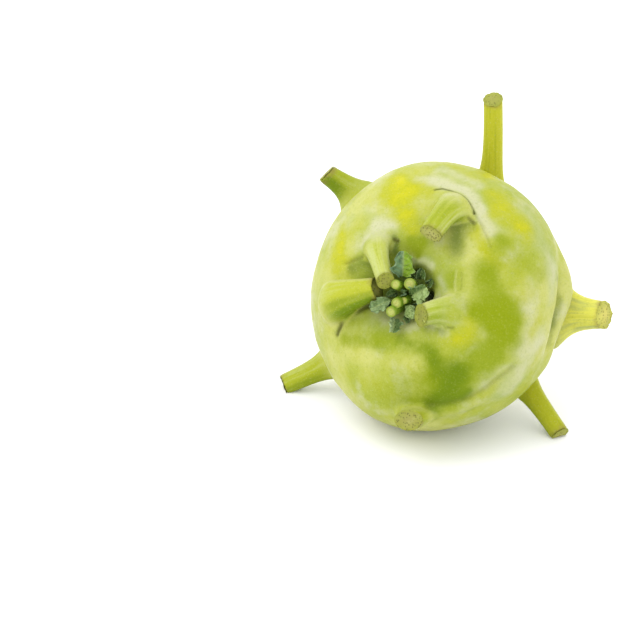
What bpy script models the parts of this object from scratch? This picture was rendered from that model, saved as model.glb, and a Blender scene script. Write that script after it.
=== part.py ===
import math
import random

import bmesh
import bpy
from mathutils import Matrix, Vector

# Kohlrabi: a swollen stem with the stumps of its cut leaf stalks, lying on its side.
# The stem is shaped upright, crown up along Z, and then laid in its resting pose. Metres and degrees.

STEM_RADIUS = 0.0463
STEM_HALF_HEIGHT = 0.0320
STEM_FULLNESS = 2.2
WIDE_SHARE = 0.030
WIDE_AROUND = 90.0
CROWN_HOLLOW_DEPTH = 0.0076
CROWN_HOLLOW_RADIUS = 0.0112
ROOT_DIMPLE_DEPTH = 0.0030
ROOT_DIMPLE_RADIUS = 0.0110
LOBE_HEIGHT = 0.0005
COLUMNS_AROUND = 80
ROWS_DOWN = 38

STALK_SIDES = 14
STALK_RINGS_OUT = 8
STALK_ROOT_DEPTH = 0.0075
STALK_ROOT_RINGS = 2
STALK_INNER_FLATTEN = 0.14
STALK_FLARE_LENGTH = 5.2
STALK_PATH_STEPS = 96
STALK_LEAST_SLOPE = 0.35
STALK_CUT_BLEND = 0.5
LEAF_BASE_SWELL_DOWN = 13.0
LEAF_BASE_SWELL_AROUND = 26.0
LEAF_BASE_SWELL_SHIFT = 3.0

YOUNG_STALK_SIDES = 10
YOUNG_STALK_RINGS = 4
YOUNG_STALK_LENGTH = 0.0145
YOUNG_STALK_BEND = 0.0012
YOUNG_STALK_WIDENING = 0.28

ROOT_RADIUS = 0.0066
ROOT_TIP_RADIUS = 0.0050
ROOT_LENGTH = 0.0090
ROOT_SUNK = 0.0080
ROOT_SIDES = 16

LEAN = 58.0
TURN = -30.6
GROUND_FLAT = 0.0003
GROUND_BLOCK = 0.4
SEAM_MERGE = 0.00001

LEAF_THICKNESS = 0.0007
LEAF_COLUMNS = 14
LEAF_ROWS = 6
LEAF_NOTCH = 0.72
LEAF_WAVE = 0.15

# One entry per old leaf stalk, numbered down the spiral from the youngest.
# around and down place it on the stem and sunk sets its foot below the skin; rise is its angle above level
# where it leaves and where it is cut; swing is its drift round the stem; cut_rise and cut_swing aim the cut.
# base and tip are half widths round the stem and half depths; swell is how far the skin rises round its foot,
# and flare is how far out the base has narrowed by half. Degrees and millimetres.
OLD_STALKS = [
    dict(around=139, down=20, sunk=2.0, rise=(115, 169), swing=10, length=18.4, base=(6.5, 4.2),
         tip=(2.8, 2.7), cut_rise=140, cut_swing=0, swell=0.6),
    dict(around=-10, down=27, sunk=2.6, rise=(125, 145), swing=-41, length=13.4, base=(6.6, 4.0),
         tip=(3.4, 3.0), cut_rise=112, cut_swing=-25, swell=1.4),
    dict(around=-154, down=37, sunk=2.2, rise=(110, 182), swing=0, length=24.0, base=(7.8, 5.2),
         tip=(1.7, 2.5), cut_rise=170, cut_swing=0, swell=1.4, flare=18.0),
    dict(around=73, down=42, sunk=2.2, rise=(95, 153), swing=-9, length=18.3, base=(7.6, 4.4),
         tip=(3.8, 3.2), cut_rise=140, cut_swing=-10, swell=0.9),
    dict(around=-73, down=60, sunk=1.5, rise=(45, 75), swing=4, length=9.0, base=(8.0, 4.6),
         tip=(4.1, 3.5), cut_rise=72, cut_swing=0, swell=1.4),
    dict(around=146, down=92, sunk=0.5, rise=(10, 44), swing=8, length=15.8, base=(9.0, 5.6),
         tip=(3.4, 3.1), cut_rise=31, cut_swing=0, swell=3.0, flare=4.6),
    dict(around=11, down=134, sunk=0.0, rise=(0, 12), swing=-2, length=18.9, base=(14.0, 5.4),
         tip=(4.3, 3.9), cut_rise=25, cut_swing=0, swell=3.6),
    dict(around=-139, down=103, sunk=0.5, rise=(-10, 7), swing=-2, length=23.6, base=(8.5, 5.2),
         tip=(3.7, 3.3), cut_rise=22, cut_swing=0, swell=1.6),
    dict(around=88, down=120, sunk=0.5, rise=(20, 36), swing=3, length=35.4, base=(7.5, 5.0),
         tip=(3.5, 3.2), cut_rise=60, cut_swing=0, swell=1.0),
    dict(around=-34, down=136, sunk=0.5, rise=(0, 0), swing=-4, length=26.2, base=(7.5, 4.8),
         tip=(3.2, 3.0), cut_rise=12, cut_swing=-4, swell=1.4),
    dict(around=166, down=136, sunk=0.5, rise=(-20, 5), swing=0, length=13.0, base=(8.5, 4.8),
         tip=(4.0, 3.5), cut_rise=10, cut_swing=0, swell=1.4),
    dict(around=-85, down=150, sunk=0.5, rise=(-50, -111), swing=-25, length=11.2, base=(7.0, 4.8),
         tip=(4.0, 3.6), cut_rise=-90, cut_swing=-20, swell=0.8),
]

# Broad swellings, flatter sides and valleys of the skin: down, around, millimetres, and widths down and round.
SHOULDERS = (
    (62, 152, 1.9, 28, 26),
    (74, 30, 1.5, 30, 30),
    (60, -176, -0.9, 26, 24),
    (90, 5, -0.9, 16, 26),
    (114, -90, -0.8, 18, 32),
    (114, 20, 4.1, 12, 15),
    (99, 9, -2.8, 5, 22),
    (28, 50, -2.1, 8, 7),
    (36, 37, 0.9, 9, 9),
    (72, -42, -0.8, 4.5, 24),
    (113, -14, 1.0, 10, 12),
)

# The young stalks cut short in the crown: place and height of the cut tip, lean away from upright and radius.
YOUNG_STALKS = [
    dict(x=0.6, y=-0.4, height=36.4, lean=(0.04, 0.02), radius=1.6),
    dict(x=4.8, y=1.1, height=34.6, lean=(0.22, 0.12), radius=1.95),
    dict(x=2.4, y=-6.5, height=35.7, lean=(0.08, -0.30), radius=1.75),
    dict(x=1.5, y=-9.8, height=36.0, lean=(0.02, -0.46), radius=1.75),
    dict(x=4.0, y=-4.9, height=33.8, lean=(0.16, -0.20), radius=1.2),
]

# The small leaves left in the crown: foot and tip of the midrib, the way the upper face looks, and shape.
CROWN_LEAVES = [
    dict(name="crown_leaf_top", foot=(0.6, 3.0, 32.6), tip=(0.3, 10.8, 36.4), face=(0.4, -0.3, 0.8), width=9.2,
         cup=0.9, curl=0.8, waves=2.0, phase=0.4),
    dict(name="crown_leaf_right", foot=(5.8, -2.7, 32.8), tip=(10.9, 0.7, 35.0), face=(0.45, -0.3, 0.85), width=7.8,
         cup=0.5, curl=0.9, waves=2.5, phase=1.7),
    dict(name="crown_leaf_left", foot=(-1.3, -5.9, 33.0), tip=(-7.0, -10.7, 34.2), face=(0.5, 0.1, 0.9), width=5.2,
         cup=0.8, curl=0.6, waves=2.5, phase=2.6),
    dict(name="crown_leaf_low", foot=(1.8, -11.4, 31.6), tip=(3.2, -16.0, 33.6), face=(0.6, 0.2, 0.8), width=5.2,
         cup=0.8, curl=0.6, waves=2.0, phase=3.3),
    dict(name="crown_leaf_front", foot=(5.4, -6.0, 32.3), tip=(7.9, -10.0, 31.8), face=(0.45, -0.1, 0.9), width=4.6,
         cup=0.5, curl=0.5, waves=2.0, phase=4.1),
    dict(name="crown_leaf_inner", foot=(2.3, -2.6, 32.6), tip=(4.1, -2.0, 35.2), face=(-0.5, -0.3, 0.8), width=2.4,
         cup=0.6, curl=0.5, waves=2.0, phase=5.2),
]


def clear_scene():
    for item in list(bpy.data.objects):
        bpy.data.objects.remove(item, do_unlink=True)


def make_material(name, colour, roughness):
    material = bpy.data.materials.new(name)
    material.use_nodes = True
    shader = material.node_tree.nodes["Principled BSDF"]
    shader.inputs["Base Color"].default_value = (*colour, 1.0)
    shader.inputs["Roughness"].default_value = roughness
    return material


def object_from(name, mesh_data):
    mesh = bpy.data.meshes.new(name)
    bmesh.ops.recalc_face_normals(mesh_data, faces=mesh_data.faces)
    mesh_data.to_mesh(mesh)
    mesh_data.free()
    made = bpy.data.objects.new(name, mesh)
    bpy.context.scene.collection.objects.link(made)
    return made


def bulge(down, around, centre_down, centre_around, down_width, around_width):
    """Smooth rise of height one round a place on the stem, widths in degrees."""
    turn = (around - centre_around + 180.0) % 360.0 - 180.0
    across = turn * math.sin(math.radians(centre_down)) / around_width
    along = (down - centre_down) / down_width
    return math.exp(-across * across - along * along)


def stem_radius_offset(down, around):
    """Metres that the skin stands out from the plain swollen form: leaf-base swellings, folds and lobes."""
    offset = LOBE_HEIGHT * math.sin(math.radians(5 * around + 220)) * math.sin(math.radians(down))
    offset += 0.6 * LOBE_HEIGHT * math.sin(math.radians(3 * around - 2.2 * down))
    for stalk in OLD_STALKS:
        offset += 0.001 * stalk["swell"] * bulge(down, around, stalk["down"] + LEAF_BASE_SWELL_SHIFT,
                                                stalk["around"], LEAF_BASE_SWELL_DOWN, LEAF_BASE_SWELL_AROUND)
    for down_at, around_at, height, down_width, around_width in SHOULDERS:
        offset += 0.001 * height * bulge(down, around, down_at, around_at, down_width, around_width)
    return offset


def stem_point(down, around):
    """A point of the skin, crown up, from the angle down from the crown and the angle round the stem."""
    sine = math.sin(math.radians(down))
    cosine = math.cos(math.radians(down))
    power = 2.0 / STEM_FULLNESS
    wide = 1.0 + WIDE_SHARE * math.cos(2 * math.radians(around - WIDE_AROUND))
    radius = STEM_RADIUS * wide * max(sine, 0.0) ** power
    height = STEM_HALF_HEIGHT * math.copysign(abs(cosine) ** power, cosine)
    out = Vector((sine / STEM_RADIUS, 0.0, cosine / STEM_HALF_HEIGHT)).normalized()
    offset = stem_radius_offset(down, around) * min(1.0, 3.0 * sine)
    radius += offset * out.x
    height += offset * out.z
    if cosine > 0:
        height -= CROWN_HOLLOW_DEPTH * math.exp(-((radius / CROWN_HOLLOW_RADIUS) ** 2))
    else:
        height += ROOT_DIMPLE_DEPTH * math.exp(-((radius / ROOT_DIMPLE_RADIUS) ** 2))
    angle = math.radians(around)
    return Vector((radius * math.cos(angle), radius * math.sin(angle), height))


def stem_normal(down, around):
    """Outward direction of the skin, from two short steps along it."""
    here = stem_point(down, around)
    lower = stem_point(down + 0.5, around) - here
    onward = stem_point(down, around + 0.5) - here
    return lower.cross(onward).normalized()


def swollen_stem():
    """The closed skin of the swollen stem as rings of points between its crown and its root end."""
    body = bmesh.new()
    rings = []
    for row in range(1, ROWS_DOWN):
        down = 180.0 * row / ROWS_DOWN
        ring = [body.verts.new(stem_point(down, 360.0 * column / COLUMNS_AROUND))
                for column in range(COLUMNS_AROUND)]
        rings.append(ring)
    crown = body.verts.new(stem_point(0.0, 0.0))
    root = body.verts.new(stem_point(180.0, 0.0))
    for column in range(COLUMNS_AROUND):
        following = (column + 1) % COLUMNS_AROUND
        body.faces.new((crown, rings[0][column], rings[0][following]))
        body.faces.new((root, rings[-1][following], rings[-1][column]))
        for upper, lower in zip(rings, rings[1:]):
            body.faces.new((upper[column], lower[column], lower[following], upper[following]))
    return object_from("swollen_stem", body)


def aim(around, rise, swing):
    """Unit direction from its angle above level, leaving the stem at this side, and its drift sideways."""
    angle = math.radians(around)
    outward = Vector((math.cos(angle), math.sin(angle), 0.0))
    sideways = Vector((-math.sin(angle), math.cos(angle), 0.0))
    upward = Vector((0.0, 0.0, 1.0))
    level = math.cos(math.radians(rise)) * outward + math.sin(math.radians(rise)) * upward
    return math.cos(math.radians(swing)) * level + math.sin(math.radians(swing)) * sideways


def stalk_path(stalk):
    """Centre points, directions and distances of a leaf stalk, from its root inside the stem to its cut."""
    length = 0.001 * stalk["length"]
    first, last = stalk["rise"]
    spots = [-STALK_ROOT_DEPTH * (STALK_ROOT_RINGS - i) / STALK_ROOT_RINGS for i in range(STALK_ROOT_RINGS)]
    spots += [length * (i / STALK_RINGS_OUT) ** 1.25 for i in range(STALK_RINGS_OUT + 1)]
    foot = stem_point(stalk["down"], stalk["around"])
    foot = foot - stem_normal(stalk["down"], stalk["around"]) * (0.001 * stalk["sunk"])

    def direction(distance):
        share = distance / length
        if share > 0:
            share = 1.0 - (1.0 - share) ** 2
        return aim(stalk["around"], first + (last - first) * share, stalk["swing"] * share)

    def centre(distance):
        point = foot
        for step in range(STALK_PATH_STEPS):
            halfway = distance * (step + 0.5) / STALK_PATH_STEPS
            point = point + direction(halfway) * (distance / STALK_PATH_STEPS)
        return point

    return [(centre(spot), direction(spot), spot) for spot in spots]


def ring_of(mesh_data, centre, direction, sideways, half_width, half_depth, sides, inner_flat):
    """One cross-section ring: wide along sideways, and flatter on the side that faces the crown."""
    inward = direction.cross(sideways).normalized()
    ring = []
    for side in range(sides):
        angle = 2 * math.pi * side / sides
        across = half_width * math.cos(angle)
        deep = half_depth * math.sin(angle)
        if deep > 0:
            deep *= 1.0 - inner_flat
        ring.append(mesh_data.verts.new(centre + sideways * across + inward * deep))
    return ring


def skin_rings(mesh_data, rings):
    """Walls between rings and a flat face over each end."""
    for near, far in zip(rings, rings[1:]):
        count = len(near)
        for i in range(count):
            mesh_data.faces.new((near[i], near[(i + 1) % count], far[(i + 1) % count], far[i]))
    mesh_data.faces.new(list(reversed(rings[0])))
    mesh_data.faces.new(rings[-1])


def old_stalk(number, stalk):
    """The stump of an old leaf stalk: a wide clasping base that narrows to a round shaft with a slanted cut."""
    made = bmesh.new()
    base_width, base_depth = (0.001 * value for value in stalk["base"])
    tip_width, tip_depth = (0.001 * value for value in stalk["tip"])
    cut = aim(stalk["around"], stalk["cut_rise"], stalk["cut_swing"])
    flare = 0.001 * stalk.get("flare", STALK_FLARE_LENGTH)
    path = stalk_path(stalk)
    rings = []
    for centre, direction, distance in path:
        spread = 1.0 / (1.0 + (max(distance, 0.0) / flare) ** 2)
        narrow = 1.0 + 0.5 * min(distance, 0.0) / STALK_ROOT_DEPTH
        width = (tip_width + (base_width - tip_width) * spread) * narrow
        depth = (tip_depth + (base_depth - tip_depth) * spread) * narrow
        around = math.radians(stalk["around"])
        level = Vector((-math.sin(around), math.cos(around), 0.0))
        sideways = (level - direction * level.dot(direction)).normalized()
        rings.append(ring_of(made, centre, direction, sideways, width, depth, STALK_SIDES,
                             STALK_INNER_FLATTEN))
    # the outer rings slide along the shaft, more and more, into the plane of the cut
    for ring, (centre, direction, distance) in zip(rings, path):
        share = (distance / path[-1][2] - STALK_CUT_BLEND) / (1.0 - STALK_CUT_BLEND)
        slope = max(cut.dot(direction), STALK_LEAST_SLOPE)
        for vertex in ring:
            slide = -(vertex.co - centre).dot(cut) / slope
            vertex.co = vertex.co + direction * (slide * max(share, 0.0))
    skin_rings(made, rings)
    return object_from(f"old_stalk_{number}", made)


def young_stalk(number, stalk):
    """A thin stalk of the growing tip, cut short, standing up from the floor of the crown hollow."""
    made = bmesh.new()
    tip = 0.001 * Vector((stalk["x"], stalk["y"], stalk["height"]))
    lean = Vector((stalk["lean"][0], stalk["lean"][1], 1.0)).normalized()
    length = YOUNG_STALK_LENGTH
    radius = 0.001 * stalk["radius"]
    sideways = Vector((0.0, 1.0, 0.0)).cross(lean).normalized()
    rings = []
    for i in range(YOUNG_STALK_RINGS):
        share = i / (YOUNG_STALK_RINGS - 1)
        bend = YOUNG_STALK_BEND * (1 - share) ** 2
        centre = tip - lean * length * (1 - share) - Vector((lean.x, lean.y, 0.0)) * bend
        wide = radius * (1.0 + YOUNG_STALK_WIDENING * (1 - share))
        rings.append(ring_of(made, centre, lean, sideways, wide, wide, YOUNG_STALK_SIDES, 0.0))
    skin_rings(made, rings)
    return object_from(f"young_stalk_{number}", made)


def root_stump():
    """The short woody stump where the stem was cut from its root."""
    made = bmesh.new()
    bottom = stem_point(180.0, 0.0).z
    sideways = Vector((1.0, 0.0, 0.0))
    rings = []
    for height, radius in (
        (bottom + ROOT_SUNK, ROOT_RADIUS * 0.7),
        (bottom + 0.0015, ROOT_RADIUS * 1.25),
        (bottom - 0.0015, ROOT_RADIUS),
        (bottom - ROOT_LENGTH * 0.55, ROOT_TIP_RADIUS * 1.08),
        (bottom - ROOT_LENGTH, ROOT_TIP_RADIUS),
    ):
        rings.append(ring_of(made, Vector((0.0, 0.0, height)), Vector((0.0, 0.0, -1.0)), sideways,
                             radius, radius, ROOT_SIDES, 0.0))
    skin_rings(made, rings)
    return object_from("root_stump", made)


def resting_pose():
    """Turn from the upright stem frame to the way it lies, before it is set down."""
    return (Matrix.Rotation(math.radians(TURN), 4, "Z")
            @ Matrix.Rotation(math.radians(LEAN), 4, "X"))


def apply_modifiers(target):
    graph = bpy.context.evaluated_depsgraph_get()
    mesh = bpy.data.meshes.new_from_object(target.evaluated_get(graph))
    target.modifiers.clear()
    target.data = mesh


def keep_outer_skin(target):
    """Fill any sealed hollow and drop loose scraps, so that only the outer skin stays."""
    made = bmesh.new()
    made.from_mesh(target.data)
    unseen = set(made.verts)
    largest = set()
    while unseen:
        island = {unseen.pop()}
        edge_of_island = list(island)
        while edge_of_island:
            vertex = edge_of_island.pop()
            for edge in vertex.link_edges:
                other = edge.other_vert(vertex)
                if other in unseen:
                    unseen.remove(other)
                    island.add(other)
                    edge_of_island.append(other)
        if len(island) > len(largest):
            largest = island
    bmesh.ops.delete(made, geom=[v for v in made.verts if v not in largest], context="VERTS")
    bmesh.ops.triangulate(made, faces=made.faces)
    bmesh.ops.dissolve_degenerate(made, edges=made.edges, dist=SEAM_MERGE)
    made.to_mesh(target.data)
    made.free()


def fuse_parts(target, parts):
    """One union joins what grows from the stem to it, and the loose pieces are then removed."""
    growing = bpy.data.collections.new("growing")
    bpy.context.scene.collection.children.link(growing)
    for part in parts:
        bpy.context.scene.collection.objects.unlink(part)
        growing.objects.link(part)
    union = target.modifiers.new("grown_together", "BOOLEAN")
    union.operation = "UNION"
    union.operand_type = "COLLECTION"
    union.collection = growing
    union.solver = "EXACT"
    apply_modifiers(target)
    for part in parts:
        bpy.data.objects.remove(part, do_unlink=True)
    bpy.data.collections.remove(growing)
    keep_outer_skin(target)


def set_down(target, ground):
    """Cut the small flats on which the stem and its lowest stumps rest."""
    block = bmesh.new()
    bmesh.ops.create_cube(block, size=GROUND_BLOCK)
    cutter = object_from("ground_block", block)
    cutter.location = (0.0, 0.0, ground - GROUND_BLOCK / 2)
    cutter.hide_render = True
    cutter.display_type = "WIRE"
    bpy.context.view_layer.update()
    trim = target.modifiers.new("rest_flats", "BOOLEAN")
    trim.operation = "DIFFERENCE"
    trim.object = cutter
    trim.solver = "EXACT"
    apply_modifiers(target)
    bpy.data.objects.remove(cutter, do_unlink=True)
    keep_outer_skin(target)


def crown_leaf(leaf):
    """A small blue-green leaf with a cut, waved edge, cupped along its midrib."""
    made = bmesh.new()
    picker = random.Random(leaf["name"])
    foot = 0.001 * Vector(leaf["foot"])
    midrib = 0.001 * Vector(leaf["tip"]) - foot
    length = midrib.length
    width = 0.001 * leaf["width"]
    ahead = midrib.normalized()
    sideways = ahead.cross(Vector(leaf["face"])).normalized()
    face = sideways.cross(ahead).normalized()
    notches = [picker.uniform(LEAF_NOTCH, 1.0) for _ in range(LEAF_COLUMNS + 1)]

    def blade_point(row, column, lower):
        along = column / LEAF_COLUMNS
        across = 2.0 * row / LEAF_ROWS - 1.0
        outline = math.sin(math.pi * (0.08 + 0.80 * along)) ** 0.8
        tooth = notches[column] if abs(across) > 0.8 else 1.0
        half = 0.5 * width * outline * tooth
        wave = math.sin(2 * math.pi * leaf["waves"] * along + leaf["phase"] + 0.9 * across)
        rise = leaf["cup"] * half * across * across
        rise += LEAF_WAVE * width * abs(across) ** 1.5 * along * wave
        rise -= 0.25 * leaf["curl"] * length * (along - 0.3) ** 2
        place = foot + ahead * (length * along) + sideways * (half * across) + face * rise
        return place + face * (-0.5 * LEAF_THICKNESS if lower else 0.5 * LEAF_THICKNESS)

    sheets = []
    for lower in (False, True):
        sheets.append([[made.verts.new(blade_point(row, column, lower)) for column in range(LEAF_COLUMNS + 1)]
                       for row in range(LEAF_ROWS + 1)])
    upper, under = sheets
    for row in range(LEAF_ROWS):
        for column in range(LEAF_COLUMNS):
            for sheet, turned in ((upper, False), (under, True)):
                a, b = sheet[row][column], sheet[row + 1][column]
                c, d = sheet[row + 1][column + 1], sheet[row][column + 1]
                for corner in ((a, b, c), (a, c, d)):
                    made.faces.new(tuple(reversed(corner)) if turned else corner)
    last_row, last_column = LEAF_ROWS, LEAF_COLUMNS
    edge = [(0, column) for column in range(last_column)]
    edge += [(row, last_column) for row in range(last_row)]
    edge += [(last_row, column) for column in range(last_column, 0, -1)]
    edge += [(row, 0) for row in range(last_row, 0, -1)]
    for (row, column), (next_row, next_column) in zip(edge, edge[1:] + edge[:1]):
        a, b = upper[row][column], upper[next_row][next_column]
        c, d = under[next_row][next_column], under[row][column]
        made.faces.new((a, b, c))
        made.faces.new((a, c, d))
    return object_from(leaf["name"], made)


def build_kohlrabi():
    clear_scene()
    stem = swollen_stem()
    growing = [old_stalk(number + 1, stalk) for number, stalk in enumerate(OLD_STALKS)]
    growing += [young_stalk(number + 1, stalk) for number, stalk in enumerate(YOUNG_STALKS)]
    growing.append(root_stump())
    fuse_parts(stem, growing)
    leaves = [crown_leaf(leaf) for leaf in CROWN_LEAVES]

    pose = resting_pose()
    for piece in [stem] + leaves:
        piece.data.transform(pose)
    body_low = min((pose @ stem_point(2.0 * i, 3.0 * j)).z for i in range(91) for j in range(120))
    set_down(stem, body_low + GROUND_FLAT)

    low = min(vertex.co.z for vertex in stem.data.vertices)
    corners = [vertex.co for piece in [stem] + leaves for vertex in piece.data.vertices]
    middle_x = 0.5 * (min(c.x for c in corners) + max(c.x for c in corners))
    middle_y = 0.5 * (min(c.y for c in corners) + max(c.y for c in corners))
    for piece in [stem] + leaves:
        piece.data.transform(Matrix.Translation((-middle_x, -middle_y, -low)))
        for polygon in piece.data.polygons:
            polygon.use_smooth = True

    stem.data.materials.clear()
    stem.data.materials.append(make_material("stem_skin", (0.56, 0.66, 0.22), 0.42))
    leaf_green = make_material("crown_leaf_green", (0.14, 0.30, 0.16), 0.55)
    for leaf in leaves:
        leaf.data.materials.append(leaf_green)
    return Vector((-middle_x, -middle_y, -low))


stem_centre = build_kohlrabi()
print("stem centre above the rest point, mm:", [round(1000 * value, 2) for value in stem_centre])
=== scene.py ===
import math
import random

import bmesh
import bpy
import numpy as np
from mathutils import Matrix, Vector, noise


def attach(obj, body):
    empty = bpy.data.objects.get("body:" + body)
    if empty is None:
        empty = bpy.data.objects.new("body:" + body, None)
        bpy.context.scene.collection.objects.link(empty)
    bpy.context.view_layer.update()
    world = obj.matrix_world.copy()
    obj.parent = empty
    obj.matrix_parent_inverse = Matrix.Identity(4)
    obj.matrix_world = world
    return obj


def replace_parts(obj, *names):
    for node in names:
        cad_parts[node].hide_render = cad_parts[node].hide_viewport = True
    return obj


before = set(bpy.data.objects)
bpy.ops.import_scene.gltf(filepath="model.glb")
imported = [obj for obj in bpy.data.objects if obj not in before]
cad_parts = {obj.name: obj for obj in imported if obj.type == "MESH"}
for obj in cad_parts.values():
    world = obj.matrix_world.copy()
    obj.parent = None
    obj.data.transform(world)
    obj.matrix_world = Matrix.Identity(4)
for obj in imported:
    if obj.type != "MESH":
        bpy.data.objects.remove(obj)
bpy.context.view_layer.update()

mm = 0.001

# camera, at the angle the picture was taken from
cameraView = {
    "metresPerPixel": 0.000352,
    "stemPixel": (435.3, 297.4),      # where the middle of the stem falls in the picture
    "imageSide": 640,
    "elevation": 28.0,
    "lens": 111.0,
    "sensor": 36.0,
}

# the stem is shaped upright, crown up, then laid down; the same values as in the part's source
stemForm = {
    "radius": 0.0463,
    "halfHeight": 0.0320,
    "fullness": 2.2,
    "wideShare": 0.030,
    "wideAround": 90.0,
    "crownHollow": (0.0076, 0.0112),   # depth, radius
    "rootDimple": (0.0030, 0.0110),
    "lobe": 0.0005,
    "lean": 58.0,
    "turn": -30.6,
    "middle": (-0.0032912, -0.0011079, 0.0440109),
    "lightSide": (-0.239, 0.963, 0.125),   # the side that lies uppermost
}

# leaf stalks down the spiral, youngest first: place on the stem, lean, cut and thickness, in degrees and mm
# look of the cut: dry brown share, how dark green, how ragged and how domed
# look of the shaft: yellow, bloom and brightness, painted shade on its underside (partly a greener tone), a painted
# highlight along its upper edge and the crease at its foot, darkened with painted shade
oldStalks = [
    dict(around=139, down=20, sunk=2.0, rise=(115, 169), swing=10, length=18.4, base=(6.5, 4.2), tip=(2.8, 2.7),
         cutRise=140, cutSwing=0, swell=0.6, dry=0.6, dark=1.0, ragged=0.5, dome=0.3,
         yellow=0.2, pale=0.65, bright=0.15, underShade=0.4, edge=0.3, crease=0.1),
    dict(around=-10, down=27, sunk=2.6, rise=(125, 145), swing=-41, length=13.4, base=(6.6, 4.0), tip=(3.4, 3.0),
         cutRise=112, cutSwing=-25, swell=1.4, dry=0.7, dark=0.8, ragged=0.8, dome=0.2,
         yellow=0.0, pale=0.45, bright=0.0, underShade=0.35, edge=1.0, crease=0.0),
    dict(around=-154, down=37, sunk=2.2, rise=(110, 182), swing=0, length=24.0, base=(7.8, 5.2), tip=(1.7, 2.5),
         cutRise=170, cutSwing=0, swell=1.4, flare=18.0, dry=0.9, dark=0.5, ragged=0.6, dome=0.0,
         yellow=0.5, pale=0.1, bright=0.1, underShade=1.0, edge=0.5, crease=0.1),
    dict(around=73, down=42, sunk=2.2, rise=(95, 153), swing=-9, length=18.3, base=(7.6, 4.4), tip=(3.8, 3.2),
         cutRise=140, cutSwing=-10, swell=0.9, dry=0.85, dark=0.1, ragged=0.9, dome=0.2,
         yellow=0.25, pale=0.35, bright=0.0, underShade=0.5, edge=0.3, crease=0.0),
    dict(around=-73, down=60, sunk=1.5, rise=(45, 75), swing=4, length=9.0, base=(8.0, 4.6), tip=(4.1, 3.5),
         cutRise=72, cutSwing=0, swell=1.4, dry=0.7, dark=0.5, ragged=0.6, dome=0.2,
         yellow=0.4, pale=0.2, bright=0.0, underShade=0.4, edge=0.3, crease=0.3),
    dict(around=146, down=92, sunk=0.5, rise=(10, 44), swing=8, length=15.8, base=(9.0, 5.6), tip=(3.4, 3.1),
         cutRise=31, cutSwing=0, swell=3.0, flare=4.6, dry=0.6, dark=0.2, ragged=0.6, dome=0.5,
         yellow=0.3, pale=0.05, bright=0.0, underShade=0.9, edge=0.2, crease=0.0),
    dict(around=11, down=134, sunk=0.0, rise=(0, 12), swing=-2, length=18.9, base=(14.0, 5.4), tip=(4.3, 3.9),
         cutRise=25, cutSwing=0, swell=3.6, dry=0.5, dark=0.0, ragged=2.2, dome=0.9,
         yellow=0.9, pale=0.5, bright=0.9, underShade=0.2, edge=0.2, crease=0.0),
    dict(around=-139, down=103, sunk=0.5, rise=(-10, 7), swing=-2, length=23.6, base=(8.5, 5.2), tip=(3.7, 3.3),
         cutRise=22, cutSwing=0, swell=1.6, dry=0.6, dark=0.3, ragged=0.7, dome=0.3,
         yellow=0.5, pale=0.2, bright=0.0, underShade=0.5, edge=0.3, crease=0.2),
    dict(around=88, down=120, sunk=0.5, rise=(20, 36), swing=3, length=35.4, base=(7.5, 5.0), tip=(3.5, 3.2),
         cutRise=60, cutSwing=0, swell=1.0, dry=0.45, dark=0.65, ragged=1.2, dome=1.0,
         yellow=1.0, pale=-0.2, bright=0.15, underShade=0.0, edge=0.0, crease=0.0),
    dict(around=-34, down=136, sunk=0.5, rise=(0, 0), swing=-4, length=26.2, base=(7.5, 4.8), tip=(3.2, 3.0),
         cutRise=12, cutSwing=-4, swell=1.4, dry=0.5, dark=0.4, ragged=0.6, dome=0.8,
         yellow=0.8, pale=-0.2, bright=0.05, underShade=0.5, edge=0.3, crease=0.0),
    dict(around=166, down=136, sunk=0.5, rise=(-20, 5), swing=0, length=13.0, base=(8.5, 4.8), tip=(4.0, 3.5),
         cutRise=10, cutSwing=0, swell=1.4, dry=0.5, dark=0.2, ragged=0.6, dome=0.3,
         yellow=0.6, pale=0.3, bright=0.0, underShade=0.4, edge=0.3, crease=0.4),
    dict(around=-85, down=150, sunk=0.5, rise=(-50, -111), swing=-25, length=11.2, base=(7.0, 4.8), tip=(4.0, 3.6),
         cutRise=-90, cutSwing=-20, swell=0.8, dry=0.6, dark=0.2, ragged=0.5, dome=0.0,
         yellow=0.5, pale=0.2, bright=0.0, underShade=0.4, edge=0.3, crease=0.3),
]

stalkForm = {
    "rootDepth": 0.0075,
    "flare": 5.2,             # mm out to where the clasping base has narrowed by half
    "cutBlend": 0.5,          # share of the shaft after which the rings lean into the cut
    "leastSlope": 0.35,
    "innerFlat": 0.14,
    "sides": 40,
    "rings": 34,
    "ribs": 6,
    "ribHeight": 0.045,       # share of the radius
}

# broad swellings of the skin: down, around, mm, width down and width around
shoulders = (
    (62, 152, 1.9, 28, 26),
    (74, 30, 1.5, 30, 30),
    (60, -176, -0.9, 26, 24),
    (90, 5, -0.9, 16, 26),
    (114, -90, -0.8, 18, 32),
    (114, 20, 4.1, 12, 15),
    (99, 9, -2.8, 5, 22),
    (28, 50, -2.1, 8, 7),
    (36, 37, 0.9, 9, 9),
    (72, -42, -0.8, 4.5, 24),
    (113, -14, 1.0, 10, 12),
)

youngStalks = [
    dict(x=0.6, y=-0.4, height=36.4, lean=(0.04, 0.02), radius=1.6),
    dict(x=4.8, y=1.1, height=34.6, lean=(0.22, 0.12), radius=1.95),
    dict(x=2.4, y=-6.5, height=35.7, lean=(0.08, -0.30), radius=1.75),
    dict(x=1.5, y=-9.8, height=36.0, lean=(0.02, -0.46), radius=1.75),
    dict(x=4.0, y=-4.9, height=33.8, lean=(0.16, -0.20), radius=1.2),
]


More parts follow.
